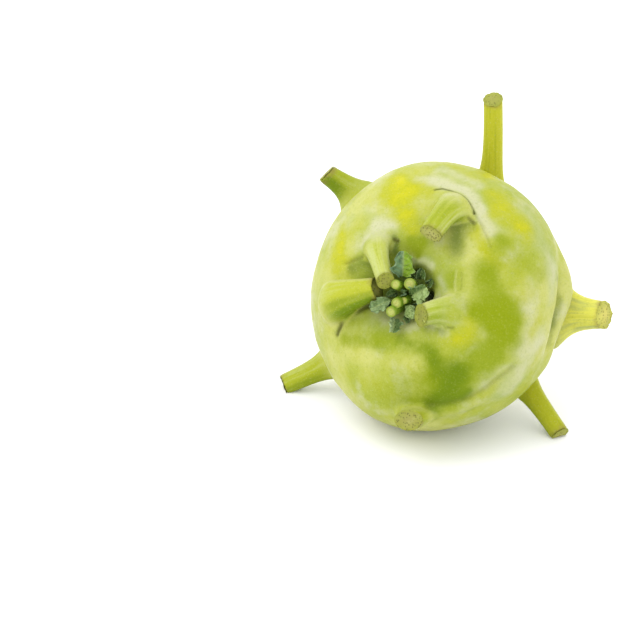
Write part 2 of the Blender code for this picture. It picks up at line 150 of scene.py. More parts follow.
def makeCamera():
    side, scale = cameraView["imageSide"], cameraView["metresPerPixel"]
    lift = math.radians(cameraView["elevation"])
    imageUp = Vector((0, math.sin(lift), math.cos(lift)))
    towards = Vector((0, -math.cos(lift), math.sin(lift)))
    column, row = cameraView["stemPixel"]
    aimAt = Vector(stemForm["middle"])
    aimAt += Vector((1, 0, 0)) * ((side / 2 - column) * scale)
    aimAt += imageUp * ((row - side / 2) * scale)
    away = cameraView["lens"] / cameraView["sensor"] * side * scale
    camera = bpy.data.objects.new("camera", bpy.data.cameras.new("camera"))
    camera.data.lens = cameraView["lens"]
    camera.data.sensor_width = cameraView["sensor"]
    camera.data.clip_start = 0.01
    camera.location = aimAt + towards * away
    camera.rotation_euler = (math.radians(90) - lift, 0, 0)
    bpy.context.scene.collection.objects.link(camera)
    bpy.context.scene.camera = camera


# the form of the stem, as arrays of points
def bulge(down, around, atDown, atAround, downWidth, aroundWidth):
    turn = (around - atAround + 180.0) % 360.0 - 180.0
    across = turn * math.sin(math.radians(atDown)) / aroundWidth
    along = (down - atDown) / downWidth
    return np.exp(-across * across - along * along)


def skinRise(down, around):
    rise = stemForm["lobe"] * np.sin(np.radians(5 * around + 220)) * np.sin(np.radians(down))
    rise = rise + 0.6 * stemForm["lobe"] * np.sin(np.radians(3 * around - 2.2 * down))
    for stalk in oldStalks:
        rise = rise + mm * stalk["swell"] * bulge(down, around, stalk["down"] + 3, stalk["around"], 13, 26)
    for atDown, atAround, height, downWidth, aroundWidth in shoulders:
        rise = rise + mm * height * bulge(down, around, atDown, atAround, downWidth, aroundWidth)
    return rise


def skinPoints(down, around):
    down, around = np.asarray(down, float), np.asarray(around, float)
    sine, cosine = np.sin(np.radians(down)), np.cos(np.radians(down))
    power = 2.0 / stemForm["fullness"]
    wide = 1.0 + stemForm["wideShare"] * np.cos(2 * np.radians(around - stemForm["wideAround"]))
    radius = stemForm["radius"] * wide * np.maximum(sine, 0.0) ** power
    height = stemForm["halfHeight"] * np.sign(cosine) * np.abs(cosine) ** power
    outX, outZ = sine / stemForm["radius"], cosine / stemForm["halfHeight"]
    size = np.hypot(outX, outZ)
    rise = skinRise(down, around) * np.minimum(1.0, 3.0 * sine)
    radius = radius + rise * outX / size
    height = height + rise * outZ / size
    crownDepth, crownRadius = stemForm["crownHollow"]
    rootDepth, rootRadius = stemForm["rootDimple"]
    height = np.where(cosine > 0, height - crownDepth * np.exp(-((radius / crownRadius) ** 2)),
                      height + rootDepth * np.exp(-((radius / rootRadius) ** 2)))
    turn = np.radians(around)
    return np.stack([radius * np.cos(turn), radius * np.sin(turn), height], axis=-1)


def skinPoint(down, around):
    return Vector(skinPoints([down], [around])[0])


def skinNormal(down, around):
    here = skinPoint(down, around)
    lower = skinPoint(down + 0.5, around) - here
    onward = skinPoint(down, around + 0.5) - here
    return lower.cross(onward).normalized()


# down from the crown and around the stem, for points near the skin
def stemAngles(points):
    power = stemForm["fullness"] / 2
    radius = np.hypot(points[:, 0], points[:, 1]) / stemForm["radius"]
    height = points[:, 2] / stemForm["halfHeight"]
    down = np.degrees(np.arctan2(radius ** power, np.sign(height) * np.abs(height) ** power))
    return down, np.degrees(np.arctan2(points[:, 1], points[:, 0]))


def restingPose():
    laid = Matrix.Rotation(math.radians(stemForm["turn"]), 4, "Z") @ Matrix.Rotation(
        math.radians(stemForm["lean"]), 4, "X")
    return Matrix.Translation(stemForm["middle"]) @ laid


def smoothStep(low, high, value):
    share = np.clip((value - low) / (high - low), 0.0, 1.0)
    return share * share * (3.0 - 2.0 * share)


def aimOf(around, rise, swing):
    turn, rise, swing = math.radians(around), np.radians(rise), np.radians(swing)
    outward = np.array([math.cos(turn), math.sin(turn), 0.0])
    sideways = np.array([-math.sin(turn), math.cos(turn), 0.0])
    upward = np.array([0.0, 0.0, 1.0])
    level = np.multiply.outer(np.cos(rise), outward) + np.multiply.outer(np.sin(rise), upward)
    return level * np.cos(swing)[..., None] + np.multiply.outer(np.sin(swing), sideways)


# centre line of a stalk with its directions and half widths, from inside the stem to the cut
def stalkAxis(stalk, steps=96):
    length = mm * stalk["length"]
    spots = np.concatenate([np.linspace(-stalkForm["rootDepth"], 0, 25)[:-1], np.linspace(0, length, steps + 1)])

    def directionAt(distance):
        share = distance / length
        share = np.where(share > 0, 1.0 - (1.0 - share) ** 2, share)
        first, last = stalk["rise"]
        return aimOf(stalk["around"], first + (last - first) * share, stalk["swing"] * share)

    halfway = 0.5 * (spots[1:] + spots[:-1])
    moves = directionAt(halfway) * (spots[1:] - spots[:-1])[:, None]
    centres = np.concatenate([np.zeros((1, 3)), np.cumsum(moves, axis=0)])
    centres -= centres[24]
    foot = skinPoint(stalk["down"], stalk["around"])
    foot -= skinNormal(stalk["down"], stalk["around"]) * (mm * stalk["sunk"])
    centres += np.array(foot)
    directions = directionAt(spots)
    turn = math.radians(stalk["around"])
    level = np.array([-math.sin(turn), math.cos(turn), 0.0])
    sideways = level - directions * (directions @ level)[:, None]
    sideways /= np.linalg.norm(sideways, axis=1)[:, None]
    inward = np.cross(directions, sideways)
    spread = 1.0 / (1.0 + (np.maximum(spots, 0.0) / (mm * stalk.get("flare", stalkForm["flare"]))) ** 2)
    narrow = 1.0 + 0.5 * np.minimum(spots, 0.0) / stalkForm["rootDepth"]
    baseWidth, baseDepth = (mm * value for value in stalk["base"])
    tipWidth, tipDepth = (mm * value for value in stalk["tip"])
    return {
        "distance": spots,
        "centre": centres,
        "direction": directions,
        "sideways": sideways,
        "inward": inward,
        "width": (tipWidth + (baseWidth - tipWidth) * spread) * narrow,
        "depth": (tipDepth + (baseDepth - tipDepth) * spread) * narrow,
        "cut": aimOf(stalk["around"], np.array([stalk["cutRise"]]), np.array([stalk["cutSwing"]]))[0],
        "length": length,
    }


def ribsAt(angle, phase):
    return 0.7 * np.cos(stalkForm["ribs"] * angle + phase) + 0.3 * np.cos(11 * angle + 2.3 * phase)


# a closed tube along a stalk's centre line, its last stretch sheared into the plane of the cut
def addTube(target, axis, phase):
    tube = bmesh.new()
    bmesh.ops.create_cone(tube, cap_ends=True, segments=stalkForm["sides"], radius1=1.0, radius2=1.0, depth=1.0)
    walls = [edge for edge in tube.edges if abs(edge.verts[0].co.z - edge.verts[1].co.z) > 0.5]
    bmesh.ops.subdivide_edges(tube, edges=walls, cuts=stalkForm["rings"])
    low, high = axis["distance"][0], axis["length"]
    for vertex in tube.verts:
        distance = low + (high - low) * (vertex.co.z + 0.5)
        angle = math.atan2(vertex.co.y, vertex.co.x)

        def along(name):
            values = axis[name]
            if values.ndim == 1:
                return np.interp(distance, axis["distance"], values)
            return np.array([np.interp(distance, axis["distance"], values[:, i]) for i in range(3)])

        grown = float(smoothStep(0.001, 0.007, distance))
        ribbed = 1.0 + stalkForm["ribHeight"] * grown * ribsAt(angle, phase)
        across = along("width") * math.cos(angle) * ribbed
        deep = along("depth") * math.sin(angle) * ribbed
        if deep > 0:
            deep *= 1.0 - stalkForm["innerFlat"]
        offset = along("sideways") * across + along("inward") * deep
        direction = along("direction")
        near = max((distance / high - stalkForm["cutBlend"]) / (1 - stalkForm["cutBlend"]), 0.0)
        slope = max(float(axis["cut"] @ direction), stalkForm["leastSlope"])
        offset = offset - direction * (float(offset @ axis["cut"]) / slope * near)
        vertex.co = Vector(along("centre") + offset)
    addMesh(target, tube)


def addMesh(target, made):
    passing = bpy.data.meshes.new("passing")
    made.to_mesh(passing)
    made.free()
    target.from_mesh(passing)
    bpy.data.meshes.remove(passing)


def finishObject(name, made, material):
    bmesh.ops.recalc_face_normals(made, faces=made.faces)
    mesh = bpy.data.meshes.new(name)
    made.to_mesh(mesh)
    made.free()
    mesh.shade_smooth()
    piece = bpy.data.objects.new(name, mesh)
    bpy.context.scene.collection.objects.link(piece)
    mesh.materials.append(material)
    return piece


def applyModifiers(piece):
    graph = bpy.context.evaluated_depsgraph_get()
    mesh = bpy.data.meshes.new_from_object(piece.evaluated_get(graph))
    piece.modifiers.clear()
    piece.data = mesh


def pointsOf(mesh):
    points = np.zeros(len(mesh.vertices) * 3)
    mesh.vertices.foreach_get("co", points)
    return points.reshape(-1, 3)


def normalsOf(mesh):
    normals = np.zeros(len(mesh.vertices) * 3)
    mesh.vertices.foreach_get("normal", normals)
    return normals.reshape(-1, 3)


def setPoints(mesh, points):
    mesh.vertices.foreach_set("co", points.reshape(-1))
    mesh.update()


def setValue(mesh, name, values):
    layer = mesh.attributes.new(name, "FLOAT", "POINT")
    layer.data.foreach_set("value", np.asarray(values, np.float32))


def setVector(mesh, name, values):
    layer = mesh.attributes.new(name, "FLOAT_VECTOR", "POINT")
    layer.data.foreach_set("vector", np.asarray(values, np.float32).reshape(-1))


# colour strokes of the skin: places down and around, half width in mm and strength
skinStrokes = {
    "yellow": [
        ([(54, 116), (40, 109)], 5.6, 0.95), ([(43, 121), (29, 106)], 5.0, 0.6), ([(46, 102), (42, 94)], 3.4, 0.6),
        ([(69, 119), (60, 102)], 4.0, 0.4), ([(41, 160), (35, 176)], 4.8, 0.8), ([(29, 173), (31, 189)], 4.4, 0.45),
        ([(63, 62), (57, 53), (62, 44)], 5.6, 0.7), ([(90, 84), (77, 75)], 3.0, 0.8),
        ([(39, 53), (40, 39), (41, 26)], 3.4, 0.65), ([(37, -8), (36, -25)], 4.0, 0.7), ([(70, -28), (66, -44)], 4.0, 0.35),
        ([(29, 115), (20, 95)], 3.6, 0.6), ([(76, 1), (71, -4)], 4.0, 0.4), ([(69, 145), (65, 137)], 4.0, 0.4),
        ([(87, -12), (84, -18)], 3.6, 0.4), ([(52, 30), (60, 12)], 5.0, 0.35), ([(72, 100), (66, 80)], 3.4, 0.4),
    ],
    "green": [
        ([(38, 22), (41, 7), (50, -3)], 5.4, 1.0), ([(50, -3), (55, -10), (52, -24)], 6.6, 1.0),
        ([(36, -4), (44, -6)], 4.2, 0.9), ([(52, -24), (49, -38), (51, -51)], 6.2, 1.0),
        ([(31, -47), (41, -50), (53, -49)], 4.2, 0.85), ([(16, 96), (17, 81)], 2.6, 1.0),
        ([(16, 81), (13, 76)], 1.6, 0.9), ([(22, 23), (22, 13)], 2.4, 0.6), ([(47, 37), (56, 30), (66, 23)], 5.6, 0.45),
        # these strokes beside the stalk at around -154 darken the valley under it: green skin in part, painted shade in
        # part
        ([(27, -137), (18, -116), (19, -90)], 4.6, 0.62), ([(34, -127), (24, -101)], 3.4, 0.65),
        ([(20, -75), (25, -51)], 3.2, 0.75), ([(47, 41), (51, 37)], 2.4, 0.45), ([(67, -56), (77, -42)], 2.6, 0.4),
        ([(53, -49), (57, -68)], 7.5, 0.8), ([(40, -50), (42, -72)], 6.0, 0.5), ([(57, -68), (50, -88)], 7.0, 0.45),
    ],
    "deep": [
        ([(46, -42), (52, -52), (55, -64)], 5.4, 1.0), ([(31, -47), (41, -50)], 4.0, 0.7),
        ([(60, -44), (57, -58)], 3.0, 0.8), ([(20, -75), (25, -51)], 3.0, 0.6),
    ],
    "bloom": [
        ([(50, 103), (51, 87), (50, 74), (47, 60), (43, 47)], 3.4, 1.0), ([(62, 96), (60, 74)], 3.6, 0.65),
        ([(29, 135), (24, 117)], 2.6, 1.0), ([(22, 154), (26, 143)], 1.6, 0.7),
        # these strokes along the right-hand side are waxy bloom in part and painted sheen of the grazing edge in part
        ([(72, 51), (74, 37), (80, 26)], 7.0, 0.5), ([(82, 26), (86, 12)], 4.0, 0.5),
        ([(61, 19), (65, 0), (67, -14)], 3.4, 0.45), ([(67, -26), (62, -39), (57, -53), (51, -61)], 2.4, 0.5),
        ([(79, -5), (77, -21), (76, -33)], 6.0, 0.65), ([(10, 80), (13, 52)], 1.9, 0.7),
        ([(70, 128), (58, 148), (44, 172)], 2.6, 0.5),
        ([(16, 27), (20, 1)], 2.0, 0.6), ([(25, -23), (35, -15)], 1.8, 0.5), ([(46, 145), (40, 155)], 3.0, 0.45),
        ([(44, 135), (33, 133)], 2.8, 0.45), ([(50, 47), (55, 41)], 2.2, 0.4), ([(35, 192), (37, 203)], 2.0, 0.4),
    ],
    "shade": [
        ([(36, 66), (31, 56), (27, 46)], 4.6, 0.55), ([(32, 62), (29, 54)], 2.8, 0.4), ([(37, 64), (38, 54)], 2.4, 0.5),
        ([(18, 120), (12, 123), (9, 120)], 2.0, 0.9), ([(9, 43), (13, 17)], 2.2, 0.6), ([(24, 174), (17, 162)], 2.8, 0.6),
        ([(25, -145), (16, -141), (10, -130)], 2.0, 0.9), ([(90, 22), (101, 13), (103, 2)], 2.6, 0.5),
        ([(103, 2), (101, -7)], 2.4, 0.45), ([(19, -35), (26, -29)], 2.0, 0.5), ([(30, -138), (38, -133)], 1.8, 0.4),
    ],
}

hiddenStrokes = {"count": 34, "seed": 11, "width": (3.5, 6.0), "reach": 12.0, "strength": (0.3, 0.75)}

# folds: places down and around, half width and height in mm (below zero for a groove), and how dark or pale: painted
# shade in the grooves, and on the ridges a paler tone that is partly painted highlight
skinFolds = [
    dict(path=[(56, -65), (59, -57), (62, -50), (64, -41), (66, -31), (70, -23)], width=2.0, height=-0.8, dark=0.36),
    dict(path=[(63, -62), (69, -49), (74, -37), (78, -27)], width=2.6, height=0.8, dark=-0.2),
    dict(path=[(45, 91), (47, 87), (47, 81), (46, 74), (44, 66), (43, 61)], width=0.5, height=-0.3, dark=0.8,
         overStalk=True),
    dict(path=[(43, 61), (43, 55), (42, 48), (42, 38)], width=0.8, height=-0.35, dark=0.35),
    dict(path=[(39, 63), (40, 56)], width=1.0, height=-0.4, dark=0.7),
    dict(path=[(28, 174), (25, 170), (21, 162), (20, 154)], width=0.85, height=-0.5, dark=0.42),
    dict(path=[(10, -131), (16, -137), (24, -139), (31, -137), (38, -133)], width=0.95, height=-0.7, dark=0.8),
    dict(path=[(24, 28), (23, 16), (24, 3), (24, -6)], width=0.7, height=0.45, dark=-0.3),
    dict(path=[(26, 25), (26, 10)], width=0.6, height=-0.35, dark=0.35),
    dict(path=[(10, 70), (13, 43)], width=1.6, height=0.7, dark=-0.2),
    dict(path=[(17, 112), (18, 117)], width=0.9, height=0.4, dark=0.9),
    dict(path=[(92, 31), (97, 27), (99, 20), (100, 10), (101, 0), (99, -9)], width=1.3, height=-0.5, dark=0.35),
    dict(path=[(17, -34), (24, -29), (29, -23)], width=0.8, height=-0.3, dark=0.5),
]

# deep pits between the young stalks and the rim of the crown, coloured nearly black as painted shade
crownPits = [dict(down=10, around=-6, width=2.0, depth=3.4), dict(down=6, around=60, width=1.8, depth=1.6)]


# shortest distance in mm from each point to a line laid on the skin
def foldDistance(points, path, steps=12):
    spots = []
    for (fromDown, fromAround), (toDown, toAround) in zip(path, path[1:]):
        for step in range(steps):
            share = step / steps
            spots.append((fromDown + (toDown - fromDown) * share, fromAround + (toAround - fromAround) * share))
    spots.append(path[-1])
    line = skinPoints([spot[0] for spot in spots], [spot[1] for spot in spots])
    nearest = np.full(len(points), 1e9)
    for place in line:
        nearest = np.minimum(nearest, ((points - place) ** 2).sum(axis=1))
    return np.sqrt(nearest) / mm


# smooth noise between -1 and 1 with lumps of this size in metres
def noiseOf(points, size, seed=0.0):
    shift = Vector((seed * 7.31, seed * 3.77, seed * 5.13))
    return np.array([noise.noise(Vector(point) / size + shift) for point in points])


# for each point: how far along its nearest stalk, the angle round it and the distance in radii
def stalkPlaces(points, axes):
    count = len(points)
    best = {"ratio": np.full(count, 9.0), "along": np.full(count, -9.0), "angle": np.zeros(count),
            "number": np.full(count, -1)}
    for number, axis in enumerate(axes):
        reach = axis["length"] + 0.014
        close = np.where(((points - axis["centre"][24]) ** 2).sum(axis=1) < reach * reach)[0]
        gaps = ((points[close, None, :] - axis["centre"][None, :, :]) ** 2).sum(axis=2)
        index = gaps.argmin(axis=1)
        offset = points[close] - axis["centre"][index]
        past = (offset * axis["direction"][index]).sum(axis=1)
        across = (offset * axis["sideways"][index]).sum(axis=1) / axis["width"][index]
        deep = (offset * axis["inward"][index]).sum(axis=1) / axis["depth"][index]
        deep = np.where(deep > 0, deep / (1.0 - stalkForm["innerFlat"]), deep)
        ratio = np.hypot(across, deep)
        ratio = ratio + np.maximum(0.0, np.abs(past) - 0.0006) / 0.004
        better = ratio < best["ratio"][close]
        chosen = close[better]
        best["ratio"][chosen] = ratio[better]
        best["along"][chosen] = axis["distance"][index][better]
        best["angle"][chosen] = np.arctan2(deep, across)[better]
        best["number"][chosen] = number
    return best


skinMesh = {"voxel": 0.00067, "columns": 320, "rows": 160, "evenPasses": 4, "jointPasses": 16, "lump": 0.00022}


# the swollen stem and its old stalks in one skin
def kohlrabiSkin(axes, material):
    body = bmesh.new()
    bmesh.ops.create_uvsphere(body, u_segments=skinMesh["columns"], v_segments=skinMesh["rows"], radius=1.0)
    directions = np.array([vertex.co for vertex in body.verts])
    down = np.degrees(np.arccos(np.clip(directions[:, 2], -1, 1)))
    around = np.degrees(np.arctan2(directions[:, 1], directions[:, 0]))
    for vertex, place in zip(body.verts, skinPoints(down, around)):
        vertex.co = place
    for number, axis in enumerate(axes):
        addTube(body, axis, 1.7 * number)
    addRoot(body)
    skin = finishObject("kohlrabi_skin", body, material)
    remesh = skin.modifiers.new("grown_together", "REMESH")
    remesh.mode = "VOXEL"
    remesh.voxel_size = skinMesh["voxel"]
    applyModifiers(skin)

    points = pointsOf(skin.data)
    spots = stalkPlaces(points, axes)
    joint = smoothStep(2.0, 1.2, spots["ratio"]) * smoothStep(0.008, 0.003, spots["along"])
    group = skin.vertex_groups.new(name="joints")
    for index in np.where(joint > 0.02)[0]:
        group.add([int(index)], float(joint[index]), "REPLACE")
    rounding = skin.modifiers.new("rounded_joints", "SMOOTH")
    rounding.factor = 0.5
    rounding.iterations = skinMesh["jointPasses"]
    rounding.vertex_group = "joints"
    even = skin.modifiers.new("even_skin", "SMOOTH")
    even.factor = 0.5
    even.iterations = skinMesh["evenPasses"]
    applyModifiers(skin)
    skin.vertex_groups.clear()
    return skin


rootForm = {"radius": 0.0066, "tipRadius": 0.0050, "length": 0.0090, "sunk": 0.0080, "sides": 48}


# the woody stump below the stem
def addRoot(target):
    bottom = skinPoint(180.0, 0.0).z
    stump = bmesh.new()
    ringHeights = [
        (bottom + rootForm["sunk"], rootForm["radius"] * 0.7),
        (bottom + 0.0015, rootForm["radius"] * 1.25),
        (bottom - 0.0015, rootForm["radius"]),
        (bottom - rootForm["length"] * 0.55, rootForm["tipRadius"] * 1.08),
        (bottom - rootForm["length"], rootForm["tipRadius"]),
    ]
    circle = bmesh.ops.create_circle(stump, cap_ends=True, segments=rootForm["sides"], radius=ringHeights[0][1])
    ring = circle["verts"]
    bmesh.ops.translate(stump, verts=ring, vec=(0, 0, ringHeights[0][0]))
    for (height, radius), (nextHeight, nextRadius) in zip(ringHeights, ringHeights[1:]):
        edges = [edge for edge in stump.edges if all(vertex in ring for vertex in edge.verts)]
        grown = bmesh.ops.extrude_edge_only(stump, edges=edges)["geom"]
        ring = [item for item in grown if isinstance(item, bmesh.types.BMVert)]
        bmesh.ops.scale(stump, verts=ring, vec=(nextRadius / radius, nextRadius / radius, 1))
        bmesh.ops.translate(stump, verts=ring, vec=(0, 0, nextHeight - height))
    bmesh.ops.contextual_create(stump, geom=ring)
    addMesh(target, stump)


# how much of one kind of stroke lies at each point; strokes that overlap run together
def strokeValue(points, kind):
    bare = np.ones(len(points))
    for path, width, strength in skinStrokes[kind]:
        bare *= 1.0 - strength * np.exp(-((foldDistance(points, path, 6) / width) ** 2))
    return 1.0 - bare


# the sides that the picture doesn't show get strokes of the same kind
def scatterHiddenStrokes():
    picker = random.Random(hiddenStrokes["seed"])
    seen = Vector((0.45, 0.0, 0.89))
    placed = 0
    while placed < hiddenStrokes["count"]:
        down = math.degrees(math.acos(picker.uniform(-1, 1)))
        around = picker.uniform(-180, 180)
        kind = picker.choice(("yellow", "green", "bloom", "bloom"))
        width = picker.uniform(*hiddenStrokes["width"])
        strength = picker.uniform(*hiddenStrokes["strength"])
        reach = [picker.uniform(-1, 1) * hiddenStrokes["reach"] for _ in range(2)]
        if skinNormal(min(max(down, 3), 177), around).dot(seen) > -0.1:
            continue
        skinStrokes[kind].append(([(down, around), (down + reach[0], around + reach[1])], width, strength))
        placed += 1


# fine relief of the skin, and the values that its material reads
def dressSkin(skin, axes):
    mesh = skin.data
    points = pointsOf(mesh)
    normals = normalsOf(mesh)
    spots = stalkPlaces(points, axes)
    along, angle, ratio, number = spots["along"], spots["angle"], spots["ratio"], spots["number"]
    down, around = stemAngles(points)

    def ofStalk(key, elsewhere):
        return np.array([stalk[key] for stalk in oldStalks] + [elsewhere])[number]

    shaft = smoothStep(1.45, 1.1, ratio) * smoothStep(0.0008, 0.0050, along)
    # thin crease where the outer side of a stalk leaves the skin, sunk and darkened with painted shade
    outer = smoothStep(0.1, -0.6, np.sin(angle))
    crease = np.exp(-((ratio - 1.10) / 0.08) ** 2) * np.exp(-((along - 0.0004) / 0.0014) ** 2) * outer
    crease = crease * ofStalk("crease", 0.0)
    relief = skinMesh["lump"] * noiseOf(points, 0.011, 1) * (1 - shaft)
    relief = relief + 0.5 * skinMesh["lump"] * noiseOf(points, 0.0045, 2) * (1 - shaft)
    relief = relief - 0.00030 * crease
    # painted shade darkens the crease
    dark = 0.8 * crease
    offShaft = 1 - shaft * smoothStep(0.0035, 0.0080, along)
    onSkin = skinPoints(down, around)   # the same places without the stalks' raised feet
    for fold in skinFolds:
        if fold.get("overStalk"):
            near = np.exp(-(foldDistance(onSkin, fold["path"]) / fold["width"]) ** 2)
        else:
            near = np.exp(-(foldDistance(points, fold["path"]) / fold["width"]) ** 2) * offShaft
        relief = relief + mm * fold["height"] * near
        # the folds' darkness is painted shade in the grooves; their paleness, partly painted highlight, lies on the
        # ridges
        dark = dark + fold["dark"] * near
    pitShade = np.zeros(len(points))
    for pit in crownPits:
        gap = np.sqrt(((points - skinPoints([pit["down"]], [pit["around"]])[0]) ** 2).sum(axis=1)) / mm
        deep = np.exp(-(gap / pit["width"]) ** 2) * (1 - shaft)
        relief = relief - mm * pit["depth"] * deep
        pitShade = np.maximum(pitShade, deep)
    points = points + normals * relief[:, None]
    setPoints(mesh, points)

    warp = np.stack([noiseOf(points, 0.013, seed) for seed in (3, 4, 5)], axis=1) * 0.0022
    warp = warp + np.stack([noiseOf(points, 0.005, seed) for seed in (6, 7, 8)], axis=1) * 0.0011
    for kind in skinStrokes:
        setValue(mesh, kind + "Stroke", strokeValue(points + warp, kind) * (1 - 0.7 * shaft))
    setValue(mesh, "shaftPart", shaft * smoothStep(0.0010, 0.0085, along))
    setValue(mesh, "foldShadeAndHighlight", np.clip(dark, -1, 1))
    setValue(mesh, "deepPitShade", pitShade)
    setValue(mesh, "shaftYellow", ofStalk("yellow", 0.3))
    setValue(mesh, "shaftPale", ofStalk("pale", 0.3))
    setValue(mesh, "shaftBright", ofStalk("bright", 0.0))
    # painted shade: stalks are darkened green on the side turned from the light (partly their own greener colour), and
    # a painted highlight makes them paler along the top
    turned = normals @ np.array(stemForm["lightSide"])
    undersideShade = smoothStep(0.05, -0.55, turned) * smoothStep(0.001, 0.011, along)
    setValue(mesh, "shaftUnderShade", undersideShade * ofStalk("underShade", 0.0) * shaft)
    setValue(mesh, "shaftTopHighlight", smoothStep(0.60, 0.90, turned) * ofStalk("edge", 0.0) * shaft)
    tipGap = np.array([axis["length"] for axis in axes] + [1.0])[number] - along
    setValue(mesh, "nearCut", smoothStep(0.0030, 0.0004, tipGap) * shaft)
    # painted shade: the floor of the crown hollow is coloured dark, together with the dark of hidden leaf bits
    hollow = np.exp(-((np.hypot(points[:, 0] - 0.001, points[:, 1] + 0.001) / 0.0092) ** 4))
    setValue(mesh, "crownHollow", hollow * smoothStep(0.0, 0.02, points[:, 2]) * (1 - shaft))
    setValue(mesh, "crownGreen", smoothStep(34, 17, down) * (1 - shaft))
    rootPart = smoothStep(0.010, 0.005, np.hypot(points[:, 0], points[:, 1])) * smoothStep(-0.026, -0.031, points[:, 2])
    setValue(mesh, "rootPart", rootPart)
    turn = np.radians(around)
    setVector(mesh, "skinFlow", np.stack([np.cos(turn) * 5, np.sin(turn) * 5, np.radians(down) * 1.3], axis=1))
    setVector(mesh, "shaftFlow", np.stack([np.cos(angle), np.sin(angle), along * 18 + number * 3.0], axis=1))
    layDown(skin)


def layDown(piece):
    piece.data.transform(restingPose())
    points = pointsOf(piece.data)
    points[:, 2] = np.maximum(points[:, 2], 0.0)   # the small flats that it lies on
    setPoints(piece.data, points)


cutForm = {"sides": 60, "insets": 12, "proud": 0.00012, "wall": 0.0011, "overhang": 1.012}
cutLayers = ("cutRim", "cutVessel", "cutBrown")


# a thin cap over a cut: rim of skin, ring of vessels and a softer middle
def cutFace(target, stalk, axis, seed):
    normal, end, centre = axis["cut"], axis["direction"][-1], axis["centre"][-1]
    slope = max(float(normal @ end), stalkForm["leastSlope"])
    # the face's own axes lie in the plane of the cut, stretched where the cut is slanted
    sideways = axis["sideways"][-1] - end * float(axis["sideways"][-1] @ normal) / slope
    inward = axis["inward"][-1] - end * float(axis["inward"][-1] @ normal) / slope
    halfWidth, halfDepth, ragged = axis["width"][-1], axis["depth"][-1], stalk["ragged"]
    disc = bmesh.new()
    bmesh.ops.create_circle(disc, cap_ends=True, segments=cutForm["sides"], radius=1.0)
    face = disc.faces[:]
    for step in range(cutForm["insets"]):
        bmesh.ops.inset_region(disc, faces=face, thickness=0.96 / (cutForm["insets"] + 0.5), depth=0.0,
                               use_even_offset=True)
        face = [item for item in face if item.is_valid]
    bmesh.ops.poke(disc, faces=face)
    outer = [edge for edge in disc.edges if len(edge.link_faces) == 1]
    grown = bmesh.ops.extrude_edge_only(disc, edges=outer)["geom"]
    skirt = {item for item in grown if isinstance(item, bmesh.types.BMVert)}
    picker = random.Random(seed)
    spots = [(2 * math.pi * (i + picker.uniform(-0.25, 0.25)) / 8, 0.66 + picker.uniform(-0.06, 0.06),
              0.13 + picker.uniform(-0.02, 0.03)) for i in range(8)]
    spots += [(picker.uniform(0, 2 * math.pi), picker.uniform(0.1, 0.4), 0.10) for _ in range(4)]
    shift = Vector((seed * 1.7, seed * 2.3, seed * 0.9))
    rimLayer, vesselLayer, brownLayer = (disc.verts.layers.float.new(name) for name in cutLayers)
    for vertex in disc.verts:
        x, y = vertex.co.x, vertex.co.y
        radius = math.hypot(x, y)
        fibre = noise.noise(Vector((x * 7, y * 7, 0)) + shift)
        coarse = noise.noise(Vector((x * 2.6, y * 2.6, 3)) + shift)
        vessel = max(math.exp(-(((x - r * math.cos(t)) ** 2 + (y - r * math.sin(t)) ** 2) / w ** 2))
                     for t, r, w in spots)
        rim = float(smoothStep(0.80, 0.93, radius))
        lift = 0.00016 * fibre * (0.4 + ragged) + 0.00035 * coarse * ragged
        lift += 0.00020 * vessel - 0.00018 * (1 - rim) * (0.5 + ragged)
        lift += mm * stalk["dome"] * (1 - radius ** 2)
        grow = cutForm["overhang"]
        if vertex in skirt:
            lift = -cutForm["wall"]
            grow = 0.985
        place = centre + sideways * (x * halfWidth * grow)
        place = place + inward * (y * halfDepth * grow * (1 - stalkForm["innerFlat"] if y > 0 else 1.0))
        vertex.co = Vector(place + normal * (cutForm["proud"] + lift))
        vertex[rimLayer] = rim
        vertex[vesselLayer] = vessel
        vertex[brownLayer] = min(1.0, max(0.0, 0.5 + 0.9 * coarse + 0.5 * fibre))
    addMesh(target, disc)


def stalkCuts(axes, material):
    cuts = bmesh.new()
    for name in cutLayers:
        cuts.verts.layers.float.new(name)
    looks = {"dark": [], "dry": [], "bright": []}
    for number, (stalk, axis) in enumerate(zip(oldStalks, axes)):
        before = len(cuts.verts)
        cutFace(cuts, stalk, axis, number + 1)
        for key, values in looks.items():
            values += [stalk[key]] * (len(cuts.verts) - before)
    piece = finishObject("stalk_cuts", cuts, material)
    for key, values in looks.items():
        setValue(piece.data, "cut" + key.capitalize(), values)
    layDown(piece)
    return piece


def nodeTree(name):
    material = bpy.data.materials.new(name)
    material.use_nodes = True
    return material, material.node_tree, material.node_tree.nodes["Principled BSDF"]


def addNode(tree, kind, **settings):
    node = tree.nodes.new(kind)
    for key, value in settings.items():
        if key in node.inputs:
            node.inputs[key].default_value = value
        else:
            setattr(node, key, value)
    return node


def readValue(tree, name):
    return addNode(tree, "ShaderNodeAttribute", attribute_name=name).outputs["Fac"]


def readVector(tree, name):
    return addNode(tree, "ShaderNodeAttribute", attribute_name=name).outputs["Vector"]


def mathNode(tree, operation, first, second=None):
    node = tree.nodes.new("ShaderNodeMath")
    node.operation = operation
    for socket, value in zip(node.inputs, (first, second)):
        if value is None:
            continue
        if isinstance(value, (int, float)):
            socket.default_value = value
        else:
            tree.links.new(value, socket)
    return node.outputs[0]


def mixColour(tree, factor, first, second):
    node = tree.nodes.new("ShaderNodeMix")
    node.data_type = "RGBA"
    for socket, value in ((node.inputs[0], factor), (node.inputs[6], first), (node.inputs[7], second)):
        if isinstance(value, (int, float)):
            socket.default_value = value
        elif isinstance(value, tuple):
            socket.default_value = (*value, 1.0)
        else:
            tree.links.new(value, socket)
    return node.outputs[2]


